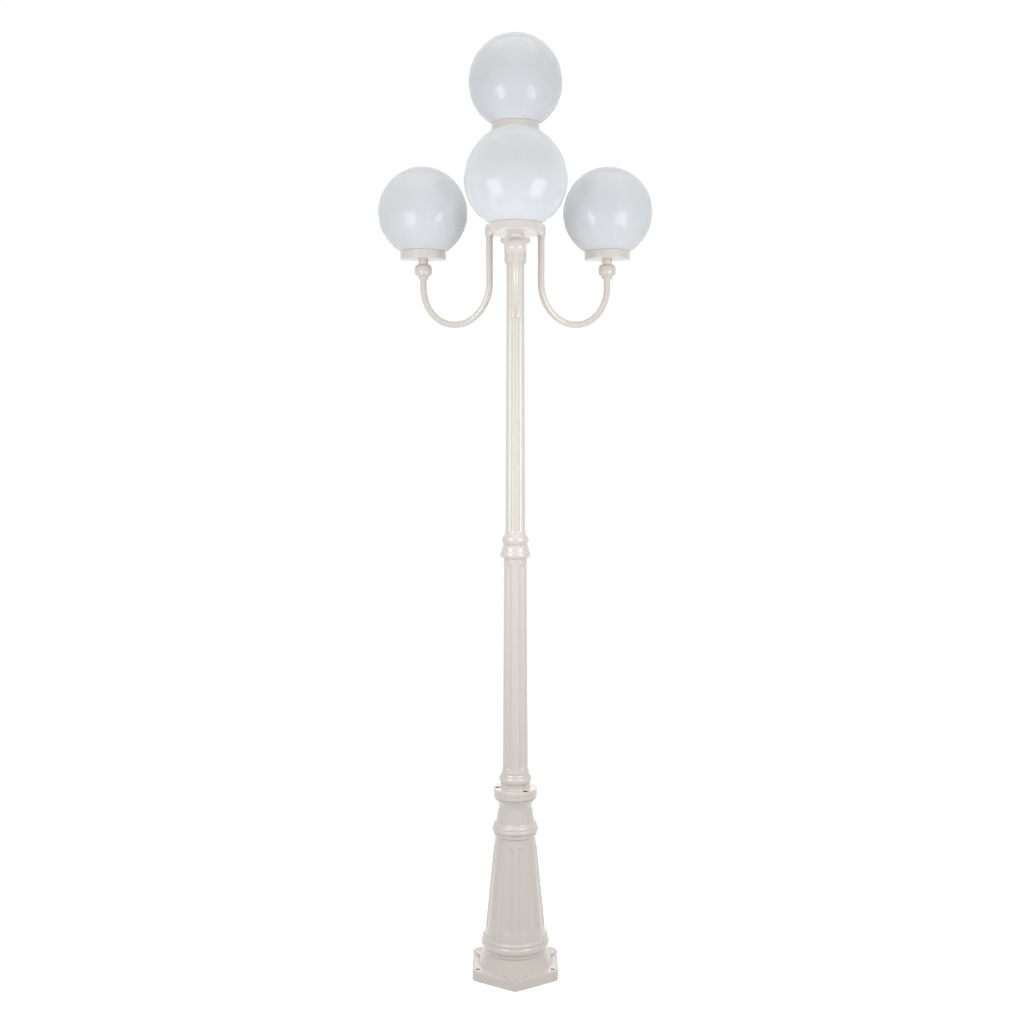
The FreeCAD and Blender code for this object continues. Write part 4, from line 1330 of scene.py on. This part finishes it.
    def gusset(self) -> Mesh:
        """Wedge at the front corner, which falls and narrows from the skirt to the plate's corner.

        Returns:
            The wedge, with a rounded crest.
        """
        inner_r = self.skirt.top_r + self.gusset_sink
        corner_r = self.foot_corner_r - self.foot_corner_round * (1 / math.cos(HALF_SIXTH) - 1)
        tip_r = corner_r - self.gusset_tip_in
        low = self.foot_t - self.foot_edge_round
        root_top = self.foot_t + self.gusset_root_rise
        tip_top = self.foot_t + self.gusset_tip_rise
        fall = (root_top - tip_top) / (tip_r - self.skirt_foot_r)
        rows = (
            (inner_r, self.gusset_root_w / 2, root_top + fall * (self.skirt_foot_r - inner_r)),
            (self.skirt_foot_r, self.gusset_root_w / 2, root_top),
            (tip_r, self.gusset_tip_w / 2, tip_top),
        )
        around = [(-half, r, top) for r, half, top in rows]
        around += [(half, r, top) for r, half, top in reversed(rows)]
        ground = [Vector((x, -r, low)) for x, r, top in around]
        wedge = polygon_prism([ground, [Vector((x, -r, top)) for x, r, top in around]])
        shape = bmesh.new()
        shape.from_mesh(wedge)
        crest = [e for e in shape.edges if all(v.co.z > self.foot_t * MM for v in e.verts)]
        bmesh.ops.bevel(
            shape,
            geom=crest,
            offset=self.gusset_round * MM,
            segments=self.gusset_round_steps,
            affect="EDGES",
            profile=ROUND_PROFILE,
        )
        shape.to_mesh(wedge)
        shape.free()
        return smooth(wedge)

    def foot(self) -> Mesh:
        """Hexagonal plate with rounded edges, gussets, anchor holes and the body's opening.

        Returns:
            The plate.
        """
        edge, top, beyond = self.foot_edge_round, self.foot_t, self.foot_overcut
        loops = [self.hexagon(self.foot_break, 0.0), self.hexagon(0.0, self.foot_break)]
        for k in range(self.foot_edge_steps + 1):
            turn = math.radians(90 * k / self.foot_edge_steps)
            loops.append(self.hexagon(edge * (1 - math.cos(turn)), top - edge * (1 - math.sin(turn))))
        loops.append(self.hexagon(edge + self.foot_edge_hold, top))
        drill = Outline.drill(self.anchor_hole_r, -beyond, top, self.hole_lip).turned(Steps.HOLE)
        cutter = moved(drill, self.anchor_pcd / 2)
        opening = Outline.rod(self.skirt_foot_r, -beyond, top + 4 * beyond).turned(Steps.FOOT)
        gusset = self.gusset()
        steps = [(Join.TAKE, opening)]
        steps += [(Join.ADD, spun(gusset, turn)) for turn in even_turns(self.anchor_count)]
        holes = even_turns(self.anchor_count, self.anchor_turn)
        steps += [(Join.TAKE, spun(cutter, turn)) for turn in holes]
        return combined(polygon_prism(loops), steps)

    def build(self) -> None:
        """Makes the casting's body and foot."""
        blank = self.outline(node_box("base_pedestal")[1].z).turned(Steps.PEDESTAL)
        body = self.fluting().cut(blank)
        set_piece(body, "pedestal_body_casting", POST, CREAM_PAINT, "base_pedestal")
        set_piece(self.foot(), "pedestal_foot_casting", POST, CREAM_PAINT, "base_pedestal")


@dataclass(frozen=True)
class Shaft:
    """What both shafts have above their mouldings: a fluted taper and a tenon."""

    foot_r: float
    top_r: float
    tenon_h: float
    bore_r: float
    flute_w: float
    flute_depth: float
    flute_foot_gap: float
    flute_top_gap: float
    soft: float
    paint_round: float
    flutes: int = 6

    def cast(self, drawn: Outline, top: float, segments: int) -> Mesh:
        """Ends a shaft's outline with taper, tenon and bore, turns it and cuts its flutes.

        Args:
            drawn: the outline, which stands on top of the mouldings.
            top: height of the tenon's top.
            segments: steps around the axis.

        Returns:
            The shaft.
        """
        foot_z = drawn.points[-1][1]
        taper_top = top - self.tenon_h
        low = FluteEnd(self.foot_r, foot_z + self.flute_foot_gap, self.flute_w, self.flute_depth)
        high = FluteEnd(self.top_r, taper_top - self.flute_top_gap, self.flute_w, self.flute_depth)
        fluting = Fluting(self.flutes, low, high, self.soft)
        fluting.taper(drawn, self.top_r, taper_top).line(self.top_r, top).line(self.bore_r, top)
        return fluting.cut(drawn.eased(self.paint_round).turned(segments))


@dataclass(frozen=True)
class LowerShaft:
    """Lower shaft casting: foot flange with sunk bolts, mouldings, fluted taper and tenon."""

    flange_r: float = 60.0
    flange_t: float = 12.5
    flange_round: float = 3.0
    seam: float = 0.6
    spigot: Band = Band(37.85, 12.0, 0.0, 37.85)
    boss: Band = Band(40.0, 3.0, -0.8, 44.0)
    waist: Band = Band(40.0, 10.0)
    bead: Band = Band(41.5, 21.0, 4.3)
    groove: Band = Band(39.6)
    sweep: Band = Band(37.2, 8.0, 0.7, 40.6)
    listel: Band = Band(37.2, 8.5, 0.5, 38.2)
    shaft: Shaft = Shaft(
        foot_r=35.8,
        top_r=31.6,
        tenon_h=28.0,
        bore_r=24.0,
        flute_w=15.0,
        flute_depth=3.0,
        flute_foot_gap=3.5,
        flute_top_gap=10.0,
        soft=1.0,
        paint_round=0.8,
    )
    bolt_pcd: float = 97.4
    bolt_turn: float = -56.0
    bolt_count: int = 3
    bolt_r: float = 4.0
    bolt_length: float = 16.0
    bolt_head_r: float = 6.5
    bolt_head_h: float = 7.2
    bolt_edge: float = 0.5
    bolt_key: float = 5.0
    bolt_key_depth: float = 3.0
    bolt_sink: float = 0.8
    hole_lip: float = 0.7

    def outline(self, foot: float) -> Outline:
        """Outline of the spigot, the flange and the mouldings.

        Args:
            foot: height of the flange's lower face.

        Returns:
            The outline, up to the taper's foot.
        """
        straight = self.flange_t - self.seam - self.flange_round
        drawn = Outline(self.shaft.bore_r, foot - self.spigot.height).bands(self.spigot)
        drawn.rise(self.flange_r - self.seam).rise(self.flange_r, self.seam)
        drawn.rise(self.flange_r, straight).shoulder(self.flange_round)
        drawn.bands(self.boss, self.waist, self.bead, self.groove, self.sweep, self.listel)
        return drawn.rise(self.shaft.foot_r)

    def bolt(self, seat: float) -> Mesh:
        """One socket screw at its place on the X axis.

        Args:
            seat: height under the screw's head.

        Returns:
            The screw.
        """
        top = seat + self.bolt_head_h
        drawn = Outline(0.0, seat - self.bolt_length).rise(self.bolt_r)
        drawn.rise(self.bolt_r, self.bolt_length)
        drawn.rise(self.bolt_head_r).rise(self.bolt_head_r, self.bolt_head_h).rise(0.0)
        screw = drawn.eased(self.bolt_edge).turned(Steps.BOLT)
        return moved(keyed(screw, self.bolt_key, top - self.bolt_key_depth, top), self.bolt_pcd / 2)

    def build(self) -> None:
        """Makes the shaft and its bolts."""
        foot = node_box("base_pedestal")[1].z
        top = node_box("lower_shaft")[1].z
        shaft = self.shaft.cast(self.outline(foot), top, Steps.LOWER_SHAFT)
        face = foot + self.flange_t
        seat = face - self.bolt_sink - self.bolt_head_h
        drill = Outline.drill(self.bolt_head_r + FIT_GAP, seat, face, self.hole_lip)
        sink = moved(drill.turned(Steps.HOLE), self.bolt_pcd / 2)
        turns = even_turns(self.bolt_count, self.bolt_turn)
        shaft = combined(shaft, [(Join.TAKE, spun(sink, turn)) for turn in turns])
        set_piece(shaft, "lower_shaft_casting", POST, CREAM_PAINT, "lower_shaft")
        ring = {"Count": self.bolt_count, "First Turn": math.radians(self.bolt_turn)}
        bolts = RING.apply(self.bolt(seat), BLACK_STEEL, {}, ring)
        set_piece(bolts, "flange_socket_screws", POST, BLACK_STEEL, "flange_bolts")


@dataclass(frozen=True)
class UpperShaft:
    """Bell collar, and the upper shaft with its foot bead, fluted taper and tenon."""

    lip: Band = Band(38.2, 16.0, 2.7, 38.9)
    band: Band = Band(37.7, 5.0)
    step: float = 0.8
    crown_r: float = 32.8
    crown_swell: float = 0.9
    crown_break: float = 1.5
    collar_bore_r: float = 31.75
    cap_t: float = 12.0
    spigot_r: float = 20.0
    bead: Band = Band(33.9, 22.0, 3.4, 31.8)
    sweep: Band = Band(27.4, 10.0, -0.6)
    shaft: Shaft = Shaft(
        foot_r=27.4,
        top_r=24.1,
        tenon_h=42.0,
        bore_r=15.5,
        flute_w=12.0,
        flute_depth=2.4,
        flute_foot_gap=2.0,
        flute_top_gap=-14.0,
        soft=0.8,
        paint_round=0.7,
    )

    def collar(self, low: float, high: float) -> Outline:
        """Outline of the bell collar.

        Args:
            low: height of its lower edge.
            high: height of its top.

        Returns:
            The outline with its bores.
        """
        below = self.lip.height + self.band.height + self.step
        crown = Band(self.crown_r, high - low - below - self.crown_break, self.crown_swell)
        drawn = Outline(self.collar_bore_r, low).bands(self.lip, self.band)
        drawn.rise(self.band.top_r - self.step, self.step).bands(crown)
        drawn.rise(self.crown_r - self.crown_break, self.crown_break)
        drawn.rise(self.spigot_r).line(self.spigot_r, high - self.cap_t).rise(self.collar_bore_r)
        return drawn.eased(self.shaft.paint_round)

    def build(self) -> None:
        """Makes the collar and the upper shaft."""
        low, high = (corner.z for corner in node_box("shaft_collar"))
        collar = self.collar(low, high).turned(Steps.HUB)
        set_piece(collar, "shaft_collar_bell", POST, CREAM_PAINT, "shaft_collar")
        foot, top = (corner.z for corner in node_box("upper_shaft"))
        drawn = Outline(self.shaft.bore_r, foot).rise(self.spigot_r).line(self.spigot_r, high)
        shaft = self.shaft.cast(drawn.bands(self.bead, self.sweep), top, Steps.UPPER_SHAFT)
        set_piece(shaft, "upper_shaft_casting", POST, CREAM_PAINT, "upper_shaft")


@dataclass(frozen=True)
class ArmHub:
    """Cast hub: sleeve and bowl on the upper shaft, spokes and sockets for the arms."""

    sleeve_foot_r: float = 29.2
    sleeve_top_r: float = 30.2
    sleeve_bore_r: float = 24.25
    tenon_h: float = 42.0
    floor_t: float = 8.5
    bowl: Band = Band(40.4, 9.5, 2.7)
    crown: Band = Band(31.0, 12.0, 2.6)
    body_r: float = 27.0
    body_h: float = 44.0
    body_round: float = 6.0
    boss_r: float = 15.0
    stem_r: float = 9.15
    stem_depth: float = 22.0
    spoke_r: float = 9.0
    spoke_rise: float = 47.5
    knob: Band = Band(11.0, 25.0, 1.1, 10.8)
    knob_drop: float = 22.0
    arm_depth: float = 14.0
    grub_r: float = 3.0
    grub_length: float = 4.8
    grub_edge: float = 0.3
    grub_key: float = 3.0
    grub_key_depth: float = 2.0
    grub_rise: float = 26.0
    tap_in: float = 3.0
    tap_out: float = 4.0
    seam: float = 0.6
    paint_round: float = 0.7

    def outline(self, low: float, high: float) -> Outline:
        """Outline of the hub's turned body.

        Args:
            low: height of the sleeve's lower edge.
            high: height of the stem's boss.

        Returns:
            The outline, without the sleeve's bore and the stem's socket.
        """
        drawn = Outline(0.0, low).rise(self.sleeve_foot_r - self.seam)
        drawn.rise(self.sleeve_foot_r, self.seam)
        drawn.line(self.sleeve_top_r, low + self.tenon_h + self.floor_t).bands(self.bowl, self.crown)
        drawn.rise(self.body_r).rise(self.body_r, self.body_h - self.body_round)
        drawn.shoulder(self.body_round)
        return drawn.rise(self.boss_r).line(self.boss_r, high).rise(0.0).eased(self.paint_round)

    def reach(self, spoke_z: float, leg_r: float) -> list[Mesh]:
        """Spoke and socket knob of one arm, along +X.

        Args:
            spoke_z: height of the spoke's axis.
            leg_r: distance of the arm's inner leg from the post's axis.

        Returns:
            The meshes.
        """
        spoke = laid(Outline.rod(self.spoke_r, 0.0, leg_r).turned(Steps.HOLE), 0, spoke_z)
        drawn = Outline(0.0, spoke_z - self.knob_drop).bands(self.knob).shoulder(self.knob.top_r)
        return [spoke, moved(drawn.eased(self.paint_round).turned(Steps.KNOB), leg_r)]

    def grub(self, rise: float) -> Mesh:
        """One headless screw with a socket, along +X in the sleeve.

        Args:
            rise: the screw's height.

        Returns:
            The screw.
        """
        length = self.grub_length
        body = Outline.rod(self.grub_r, 0.0, length).eased(self.grub_edge).turned(Steps.GRUB)
        screw = keyed(body, self.grub_key, length - self.grub_key_depth, length)
        return laid(screw, self.sleeve_bore_r, rise)

    def build(self, leg_r: float, turns: Sequence[float]) -> None:
        """Makes the hub and its set screws.

        Args:
            leg_r: distance of the arms' inner legs from the post's axis.
            turns: angle of each arm, in degrees.
        """
        low, high = (corner.z for corner in node_box("arm_hub"))
        spoke_z = low + self.tenon_h + self.floor_t + self.spoke_rise
        knob_z = spoke_z - self.knob_drop
        grub_z = low + self.grub_rise
        socket = Outline.rod(self.stem_r, knob_z - OVERCUT, knob_z + self.arm_depth)
        hole_ends = (self.sleeve_bore_r - self.tap_in, self.sleeve_top_r + self.tap_out)
        tap = laid(Outline.rod(self.grub_r + FIT_GAP, *hole_ends).turned(Steps.GRUB), 0, grub_z)
        core = Outline.rod(self.sleeve_bore_r, low - OVERCUT, low + self.tenon_h)
        well = Outline.rod(self.stem_r, high - self.stem_depth, high + OVERCUT)
        holes = (moved(socket.turned(Steps.HOLE), leg_r), tap)
        reach = self.reach(spoke_z, leg_r)
        steps = [(Join.ADD, spun(mesh, turn)) for turn in turns for mesh in reach]
        steps += [(Join.TAKE, core.turned(Steps.BALL)), (Join.TAKE, well.turned(Steps.KNOB))]
        steps += [(Join.TAKE, spun(mesh, turn)) for turn in turns for mesh in holes]
        hub = combined(self.outline(low, high).turned(Steps.HUB), steps)
        set_piece(hub, "arm_hub_casting", POST, CREAM_PAINT, "arm_hub")
        ring = {"Count": len(turns), "First Turn": math.radians(turns[0])}
        grubs = RING.apply(self.grub(grub_z), BLACK_STEEL, {}, ring)
        set_piece(grubs, "hub_set_screws", POST, BLACK_STEEL, "hub_grub_screws")


@dataclass(frozen=True)
class Arms:
    """The U-shaped arms and the top stem, all of one tube."""

    tube_r: float = 9.0
    wall: float = 2.0
    edge: float = 0.3
    bend_r: float = 107.5
    row: float = 3.0
    sides: int = 40

    @staticmethod
    def centre(side: Side) -> Vector:
        """Middle of a head's coupling."""
        low, high = node_box(side.value + "_coupling")
        return (low + high) / 2

    def turn(self, side: Side) -> float:
        """Angle of an arm from +X, in radians."""
        spot = self.centre(side)
        return math.atan2(spot.y, spot.x)

    def leg_r(self) -> float:
        """Distance of the inner legs from the post's axis."""
        spot = self.centre(Side.FRONT)
        return math.hypot(spot.x, spot.y) - 2 * self.bend_r

    def arm(self, side: Side) -> Mesh:
        """One arm.

        Args:
            side: the head that it carries.

        Returns:
            The bent tube.
        """
        low, high = (corner.z for corner in node_box(side.value + "_arm"))
        bend_z = low + self.tube_r + self.bend_r
        end_z = node_box(side.value + "_coupling")[0].z + HEAD.tube_depth
        length = high - bend_z + math.pi * self.bend_r + (end_z - bend_z)
        rows = math.ceil(length / self.row)
        line = bpy.data.meshes.new("arm")
        places = [(length * MM * k / rows, 0.0, 0.0) for k in range(rows + 1)]
        line.from_pydata(places, [(k, k + 1) for k in range(rows)], [])
        lengths = {
            "Top Z": high,
            "First Leg": high - bend_z,
            "Bend Radius": self.bend_r,
            "Start Radius": self.leg_r(),
            "Tube Radius": self.tube_r,
        }
        others = {"Turn": self.turn(side), "Sides": self.sides}
        return TUBE.apply(line, CREAM_PAINT, lengths, others, self.wall)

    def build(self) -> None:
        """Makes the arms and the stem."""
        for side in ARM_SIDES:
            name = side.value + "_arm"
            set_piece(self.arm(side), name + "_tube", POST, CREAM_PAINT, name)
        low, high = (corner.z for corner in node_box("top_stem"))
        bore = self.tube_r - self.wall
        drawn = Outline(bore, low).line(self.tube_r, low).line(self.tube_r, high).line(bore, high)
        stem = drawn.eased(self.edge).turned(self.sides)
        set_piece(stem, "top_stem_tube", POST, CREAM_PAINT, "top_stem")


@dataclass(frozen=True)
class LampHead:
    """One lamp head: coupling, fitter, lampholder with its screw shell, lamp and globe.

    Heights are measured from the coupling's lower edge.
    """

    tube_r: float = 9.15
    tube_depth: float = 20.0
    ball: tuple[Band, ...] = (
        Band(14.4, 6.5, 0.0, 14.4),
        Band(24.5, 9.75, 2.0),
        Band(24.5, 14.0),
        Band(13.8, 9.75, 2.0),
        Band(13.8, 11.0),
    )
    bore_r: float = 5.15
    fitter_r: float = 64.25
    fitter_h: float = 22.7
    fitter_wall: float = 3.5
    fitter_floor_t: float = 4.0
    fitter_round: float = 4.0
    fitter_lead: float = 2.6
    nut_t: float = 5.0
    holder_boss_r: float = 10.0
    holder_boss_h: float = 10.0
    holder_r: float = 20.5
    holder_h: float = 46.0
    holder_edge: float = 2.0
    holder_round: float = 1.0
    groove_rise: float = 9.0
    groove_depth: float = 1.2
    groove_half: float = 1.5
    shell_r: float = 14.1
    shell_wall: float = 0.6
    shell_floor_t: float = 1.0
    shell_h: float = 25.0
    shell_rows: int = 72
    shell_thread: float = 0.3
    shell_plain: float = 1.0
    lamp_rest: float = 0.3
    cap_r: float = 13.1
    cap_h: float = 27.0
    cap_wall: float = 1.6
    cap_rows: int = 64
    cap_thread: float = 0.9
    cap_pitch: float = 3.62
    cap_plain: float = 1.5
    cap_break: float = 1.0
    tip_r: float = 5.5
    tip_h: float = 3.5
    cap_seat: float = 8.0
    bulb_r: float = 30.0
    bulb_h: float = 81.0
    bulb_neck_r: float = 11.5
    bulb_wall: float = 1.2
    bulb_hip: float = 30.0
    bulb_throat_h: float = 4.0
    bulb_flank_swell: float = -1.4
    globe_wall: float = 2.5
    globe_neck_r: float = 60.25
    globe_round: float = 0.8
    globe_step: float = 3.0
    paint_round: float = 0.7

    def fitter_z(self) -> float:
        """Height of the fitter's underside."""
        return sum(band.height for band in self.ball)

    def nut_top(self) -> float:
        """Height of the lock nut's top, where the lampholder stands."""
        return self.fitter_z() + self.fitter_floor_t + self.nut_t

    def shell_z(self) -> float:
        """Height of the screw shell's underside."""
        return self.nut_top() + self.holder_h - self.shell_h - self.holder_edge

    def cap_z(self) -> float:
        """Height of the lamp's lowest point."""
        return self.shell_z() + self.shell_floor_t + self.lamp_rest

    def coupling(self) -> Outline:
        """Outline of the turned ball under a fitter."""
        drawn = Outline(self.tube_r, 0.0).bands(*self.ball).rise(self.bore_r)
        return drawn.line(self.bore_r, self.tube_depth).rise(self.tube_r).eased(self.paint_round)

    def fitter(self) -> Outline:
        """Outline of the shallow cup that carries the globe.

        Returns:
            The outline.
        """
        low, edge, outer = self.fitter_z(), self.fitter_round, self.fitter_r
        rim = low + self.fitter_h
        floor = low + self.fitter_floor_t
        inner = outer - self.fitter_wall
        drawn = Outline(self.bore_r, low).rise(outer - edge).rise(outer, edge, edge * QUARTER_SWELL)
        drawn.line(outer, rim).line(inner + self.fitter_lead, rim).line(inner, rim - self.fitter_lead)
        return drawn.line(inner, floor).line(self.bore_r, floor).eased(self.paint_round)

    def holder(self) -> Outline:
        """Outline of the porcelain lampholder, with a glazed groove about its waist.

        Returns:
            The outline.
        """
        low, edge, outer = self.nut_top(), self.holder_edge, self.holder_r
        body_z = low + self.holder_boss_h
        top = low + self.holder_h
        groove_z = body_z + self.groove_rise
        wall_r = self.shell_r + FIT_GAP
        drawn = Outline(self.bore_r, low).line(self.holder_boss_r, low)
        drawn.line(self.holder_boss_r, body_z)
        drawn.line(outer - edge, body_z).line(outer, body_z + edge)
        drawn.line(outer, groove_z - self.groove_half)
        drawn.arc((outer - self.groove_depth, groove_z), (outer, groove_z + self.groove_half))
        drawn.line(outer, top - edge).line(outer - edge, top).line(wall_r, top)
        drawn.line(wall_r, self.shell_z()).line(self.bore_r, self.shell_z())
        return drawn.eased(self.holder_round)

    def threaded(self, drawn: Outline, depth: float, span: Point, finish: Finish) -> Mesh:
        """Turns an outline and rolls the lamp's thread into it.

        Args:
            drawn: the blank's outline, with close rows along the thread.
            depth: depth of the thread.
            span: lowest and highest point of the thread.
            finish: the blank's finish.

        Returns:
            The threaded mesh.
        """
        lengths = {
            "Pitch": self.cap_pitch,
            "Depth": depth,
            "Low Z": span[0],
            "High Z": span[1],
            "Inner Radius": self.cap_r - self.cap_wall * 0.5,
        }
        return THREAD.apply(drawn.turned(Steps.CAP), finish, lengths)

    def shell(self) -> Mesh:
        """The brass screw shell in the lampholder, with its rolled thread.

        Returns:
            The threaded mesh.
        """
        low, outer, rows = self.shell_z(), self.shell_r, self.shell_rows
        high = low + self.shell_h
        floor = low + self.shell_floor_t
        inner = outer - self.shell_wall
        drawn = Outline(0.0, low).line(outer, low).line(outer, high, rows).line(inner, high)
        drawn.line(inner, floor, rows).line(0.0, floor)
        return self.threaded(drawn, self.shell_thread, (floor + self.shell_plain, high), BRASS)

    def cap(self) -> Mesh:
        """The lamp's screw cap, with its contact below.

        Returns:
            The threaded mesh.
        """
        low, edge = self.cap_z(), self.cap_break
        top = low + self.cap_h
        cone = low + 2 * self.tip_h
        barrel = cone + edge
        floor = top - self.cap_seat
        seat_r = self.bulb_neck_r + FIT_GAP
        drawn = Outline(0.0, low).line(self.tip_r - edge, low).line(self.tip_r, low + edge)
        drawn.line(self.tip_r + edge, low + self.tip_h).line(self.cap_r - edge, cone)
        drawn.line(self.cap_r, barrel).line(self.cap_r, top, self.cap_rows)
        drawn.line(seat_r, top).line(seat_r, floor).line(0.0, floor)
        return self.threaded(drawn, self.cap_thread, (barrel, top - self.cap_plain), CAP_METAL)

    def bulb(self) -> Outline:
        """Outline of the pear-shaped lamp glass, open at its neck."""
        return Outline.through(self.bulb_side(0.0) + self.bulb_side(self.bulb_wall)[::-1])

    def bulb_side(self, offset: float) -> list[Point]:
        """One face of the lamp glass, from its neck to its crown.

        Args:
            offset: how far inside the outer face it lies.

        Returns:
            The points of its outline.
        """
        top = self.cap_z() + self.cap_h
        ball_z = top + self.bulb_h - self.bulb_r
        ball_r = self.bulb_r - offset
        hip = math.radians(self.bulb_hip)
        neck = self.bulb_neck_r - offset
        throat = top + self.bulb_throat_h
        drawn = Outline(neck, top - self.cap_seat).line(neck, throat)
        hip_h = ball_z - ball_r * math.sin(hip) - throat
        drawn.rise(ball_r * math.cos(hip), hip_h, self.bulb_flank_swell)
        return drawn.arc((ball_r, ball_z), (0.0, ball_z + self.bulb_r - offset)).points

    def globe(self, low: float, high: float, radius: float) -> Outline:
        """Outline of a hollow globe with its neck.

        Args:
            low: height of the neck's lower edge.
            high: height of the crown.
            radius: the globe's outer radius.

        Returns:
            The outline, from the crown down the inside and up the outside.
        """
        centre = high - radius
        inner = radius - self.globe_wall
        neck, bore = self.globe_neck_r, self.globe_neck_r - self.globe_wall
        outer_z = centre - math.sqrt(radius ** 2 - neck ** 2)
        inner_z = centre - math.sqrt(inner ** 2 - bore ** 2)
        drawn = Outline(0.0, centre + inner)
        drawn.ARC_STEP = math.radians(self.globe_step)
        drawn.arc((inner, centre), (bore, inner_z)).line(bore, low).line(neck, low)
        drawn.line(neck, outer_z).arc((radius, centre), (0.0, high))
        return drawn.eased(self.globe_round)

    def build(self) -> None:
        """Makes the four heads from one set of blanks."""
        blanks = (
            ("coupling", "ball", self.coupling().turned(Steps.BALL), CREAM_PAINT),
            ("fitter", "cup", self.fitter().turned(Steps.FITTER), CREAM_PAINT),
            ("lampholder", "body", self.holder().turned(Steps.LAMP), PORCELAIN),
            ("contact_sleeve", "screw_shell", self.shell(), BRASS),
            ("lamp_cap", "thread", self.cap(), CAP_METAL),
            ("lamp_bulb", "glass", self.bulb().turned(Steps.LAMP), GLASS),
        )
        kept = (("_nipple", ZINC_STEEL), ("_lock_nut", ZINC_STEEL), ("_gasket", RUBBER))
        for side in Side:
            word = side.value
            spot, foot = Arms.centre(side), node_box(word + "_coupling")[0].z
            for part, kind, blank, finish in blanks:
                body = word + "_lamp" if part.startswith("lamp_") else POST
                node = word + "_" + part
                set_piece(moved(blank, spot.x, spot.y, foot), node + "_" + kind, body, finish, node)
            node = word + "_globe"
            low, high = node_box(node)
            globe = self.globe(low.z, high.z, (high.x - low.x) / 2).turned(Steps.GLOBE)
            set_piece(moved(globe, spot.x, spot.y), node + "_opal", node, OPAL, node)
            for part, finish in kept:
                paint_node(word + part, finish)


HEAD = LampHead()


@dataclass(frozen=True)
class Softbox:
    """One soft lamp, by its place about the post. Sizes are in metres."""

    name: str
    turn: float
    distance: float
    height: float
    width: float
    tall: float
    power: float
    aim_z: float
    colour: Colour = WHITE

    def build(self) -> None:
        """Stands the lamp up, facing the post."""
        lamp = bpy.data.lights.new(self.name, "AREA")
        lamp.shape = "RECTANGLE"
        lamp.size = self.width
        lamp.size_y = self.tall
        lamp.energy = self.power
        lamp.color = self.colour
        stand = bpy.data.objects.new(self.name, lamp)
        turn = math.radians(self.turn - 90)
        spot = Vector((self.distance * math.cos(turn), self.distance * math.sin(turn), self.height))
        way = Vector((0.0, 0.0, self.aim_z)) - spot
        aim = way.to_track_quat("-Z", "Y").to_matrix().to_4x4()
        stand.matrix_world = Matrix.Translation(spot) @ aim
        stand.visible_camera = False
        bpy.context.scene.collection.objects.link(stand)


@dataclass(frozen=True)
class Studio:
    """Camera, soft lamps, white surroundings and a pale floor. Sizes are in metres."""

    lens: float = 41.13
    sensor: float = 36.0
    camera_place: Colour = (-0.009, -3.1527, 1.4875)
    camera_dip: float = 3.911
    floor_half: float = 14.0
    room_light: float = 0.48
    room_tint: Colour = (1.0, 0.98, 0.96)
    boxes: tuple[Softbox, ...] = (
        Softbox("left_softbox", -41.0, 1.4, 1.5, 0.7, 0.86, 9.0, 1.5, (0.95, 0.99, 1.04)),
        Softbox("right_softbox", 45.5, 1.4, 1.5, 0.7, 0.86, 9.0, 1.5, (0.95, 0.99, 1.04)),
        Softbox("overhead_softbox", 0.0, 0.6, 4.6, 3.0, 3.0, 32.5, 0.0),
        Softbox("back_fill", 180.0, 4.0, 2.6, 2.5, 2.5, 15.0, 1.3),
    )

    def build(self) -> None:
        """Sets up the studio."""
        scene = bpy.context.scene
        view = bpy.data.cameras.new("camera")
        view.lens = self.lens
        view.sensor_width = self.sensor
        camera = bpy.data.objects.new("camera", view)
        camera.location = self.camera_place
        camera.rotation_euler = (math.radians(90.0 - self.camera_dip), 0.0, 0.0)
        scene.collection.objects.link(camera)
        scene.camera = camera
        scene.view_settings.view_transform = "Standard"
        for box in self.boxes:
            box.build()
        scene.world = self.room()
        self.floor()

    def room(self) -> bpy.types.World:
        """White surroundings: full white to a viewer's ray, softer as light.

        Returns:
            The world.
        """
        world = bpy.data.worlds.new("white_room")
        world.use_nodes = True
        world.node_tree.nodes.clear()
        graph = Graph(world.node_tree)
        seen = looking(graph)
        sockets = {
            "Color": graph.mix(seen, (*self.room_tint, 1.0), (*WHITE, 1.0)),
            "Strength": self.room_light + seen * (1.0 - self.room_light),
        }
        sky = graph.value("ShaderNodeBackground", sockets)
        graph.node("ShaderNodeOutputWorld", {"Surface": sky})
        return world

    def floor(self) -> None:
        """Lays the pale floor."""
        half = self.floor_half
        corners = [(-half, -half, 0), (half, -half, 0), (half, half, 0), (-half, half, 0)]
        mesh = bpy.data.meshes.new("floor")
        mesh.from_pydata(corners, [], [(0, 1, 2, 3)])
        mesh.materials.append(PAPER.material())
        sheet = bpy.data.objects.new("floor", mesh)
        bpy.context.scene.collection.objects.link(sheet)


def main() -> None:
    """Builds the lamp post from the ground up, and its studio."""
    logging.basicConfig(level=logging.INFO, format="%(name)s: %(message)s")
    Pedestal().build()
    LowerShaft().build()
    UpperShaft().build()
    arms = Arms()
    turns = [math.degrees(arms.turn(side)) for side in ARM_SIDES]
    ArmHub().build(arms.leg_r(), turns)
    arms.build()
    HEAD.build()
    Studio().build()


if __name__ == "__main__":
    main()
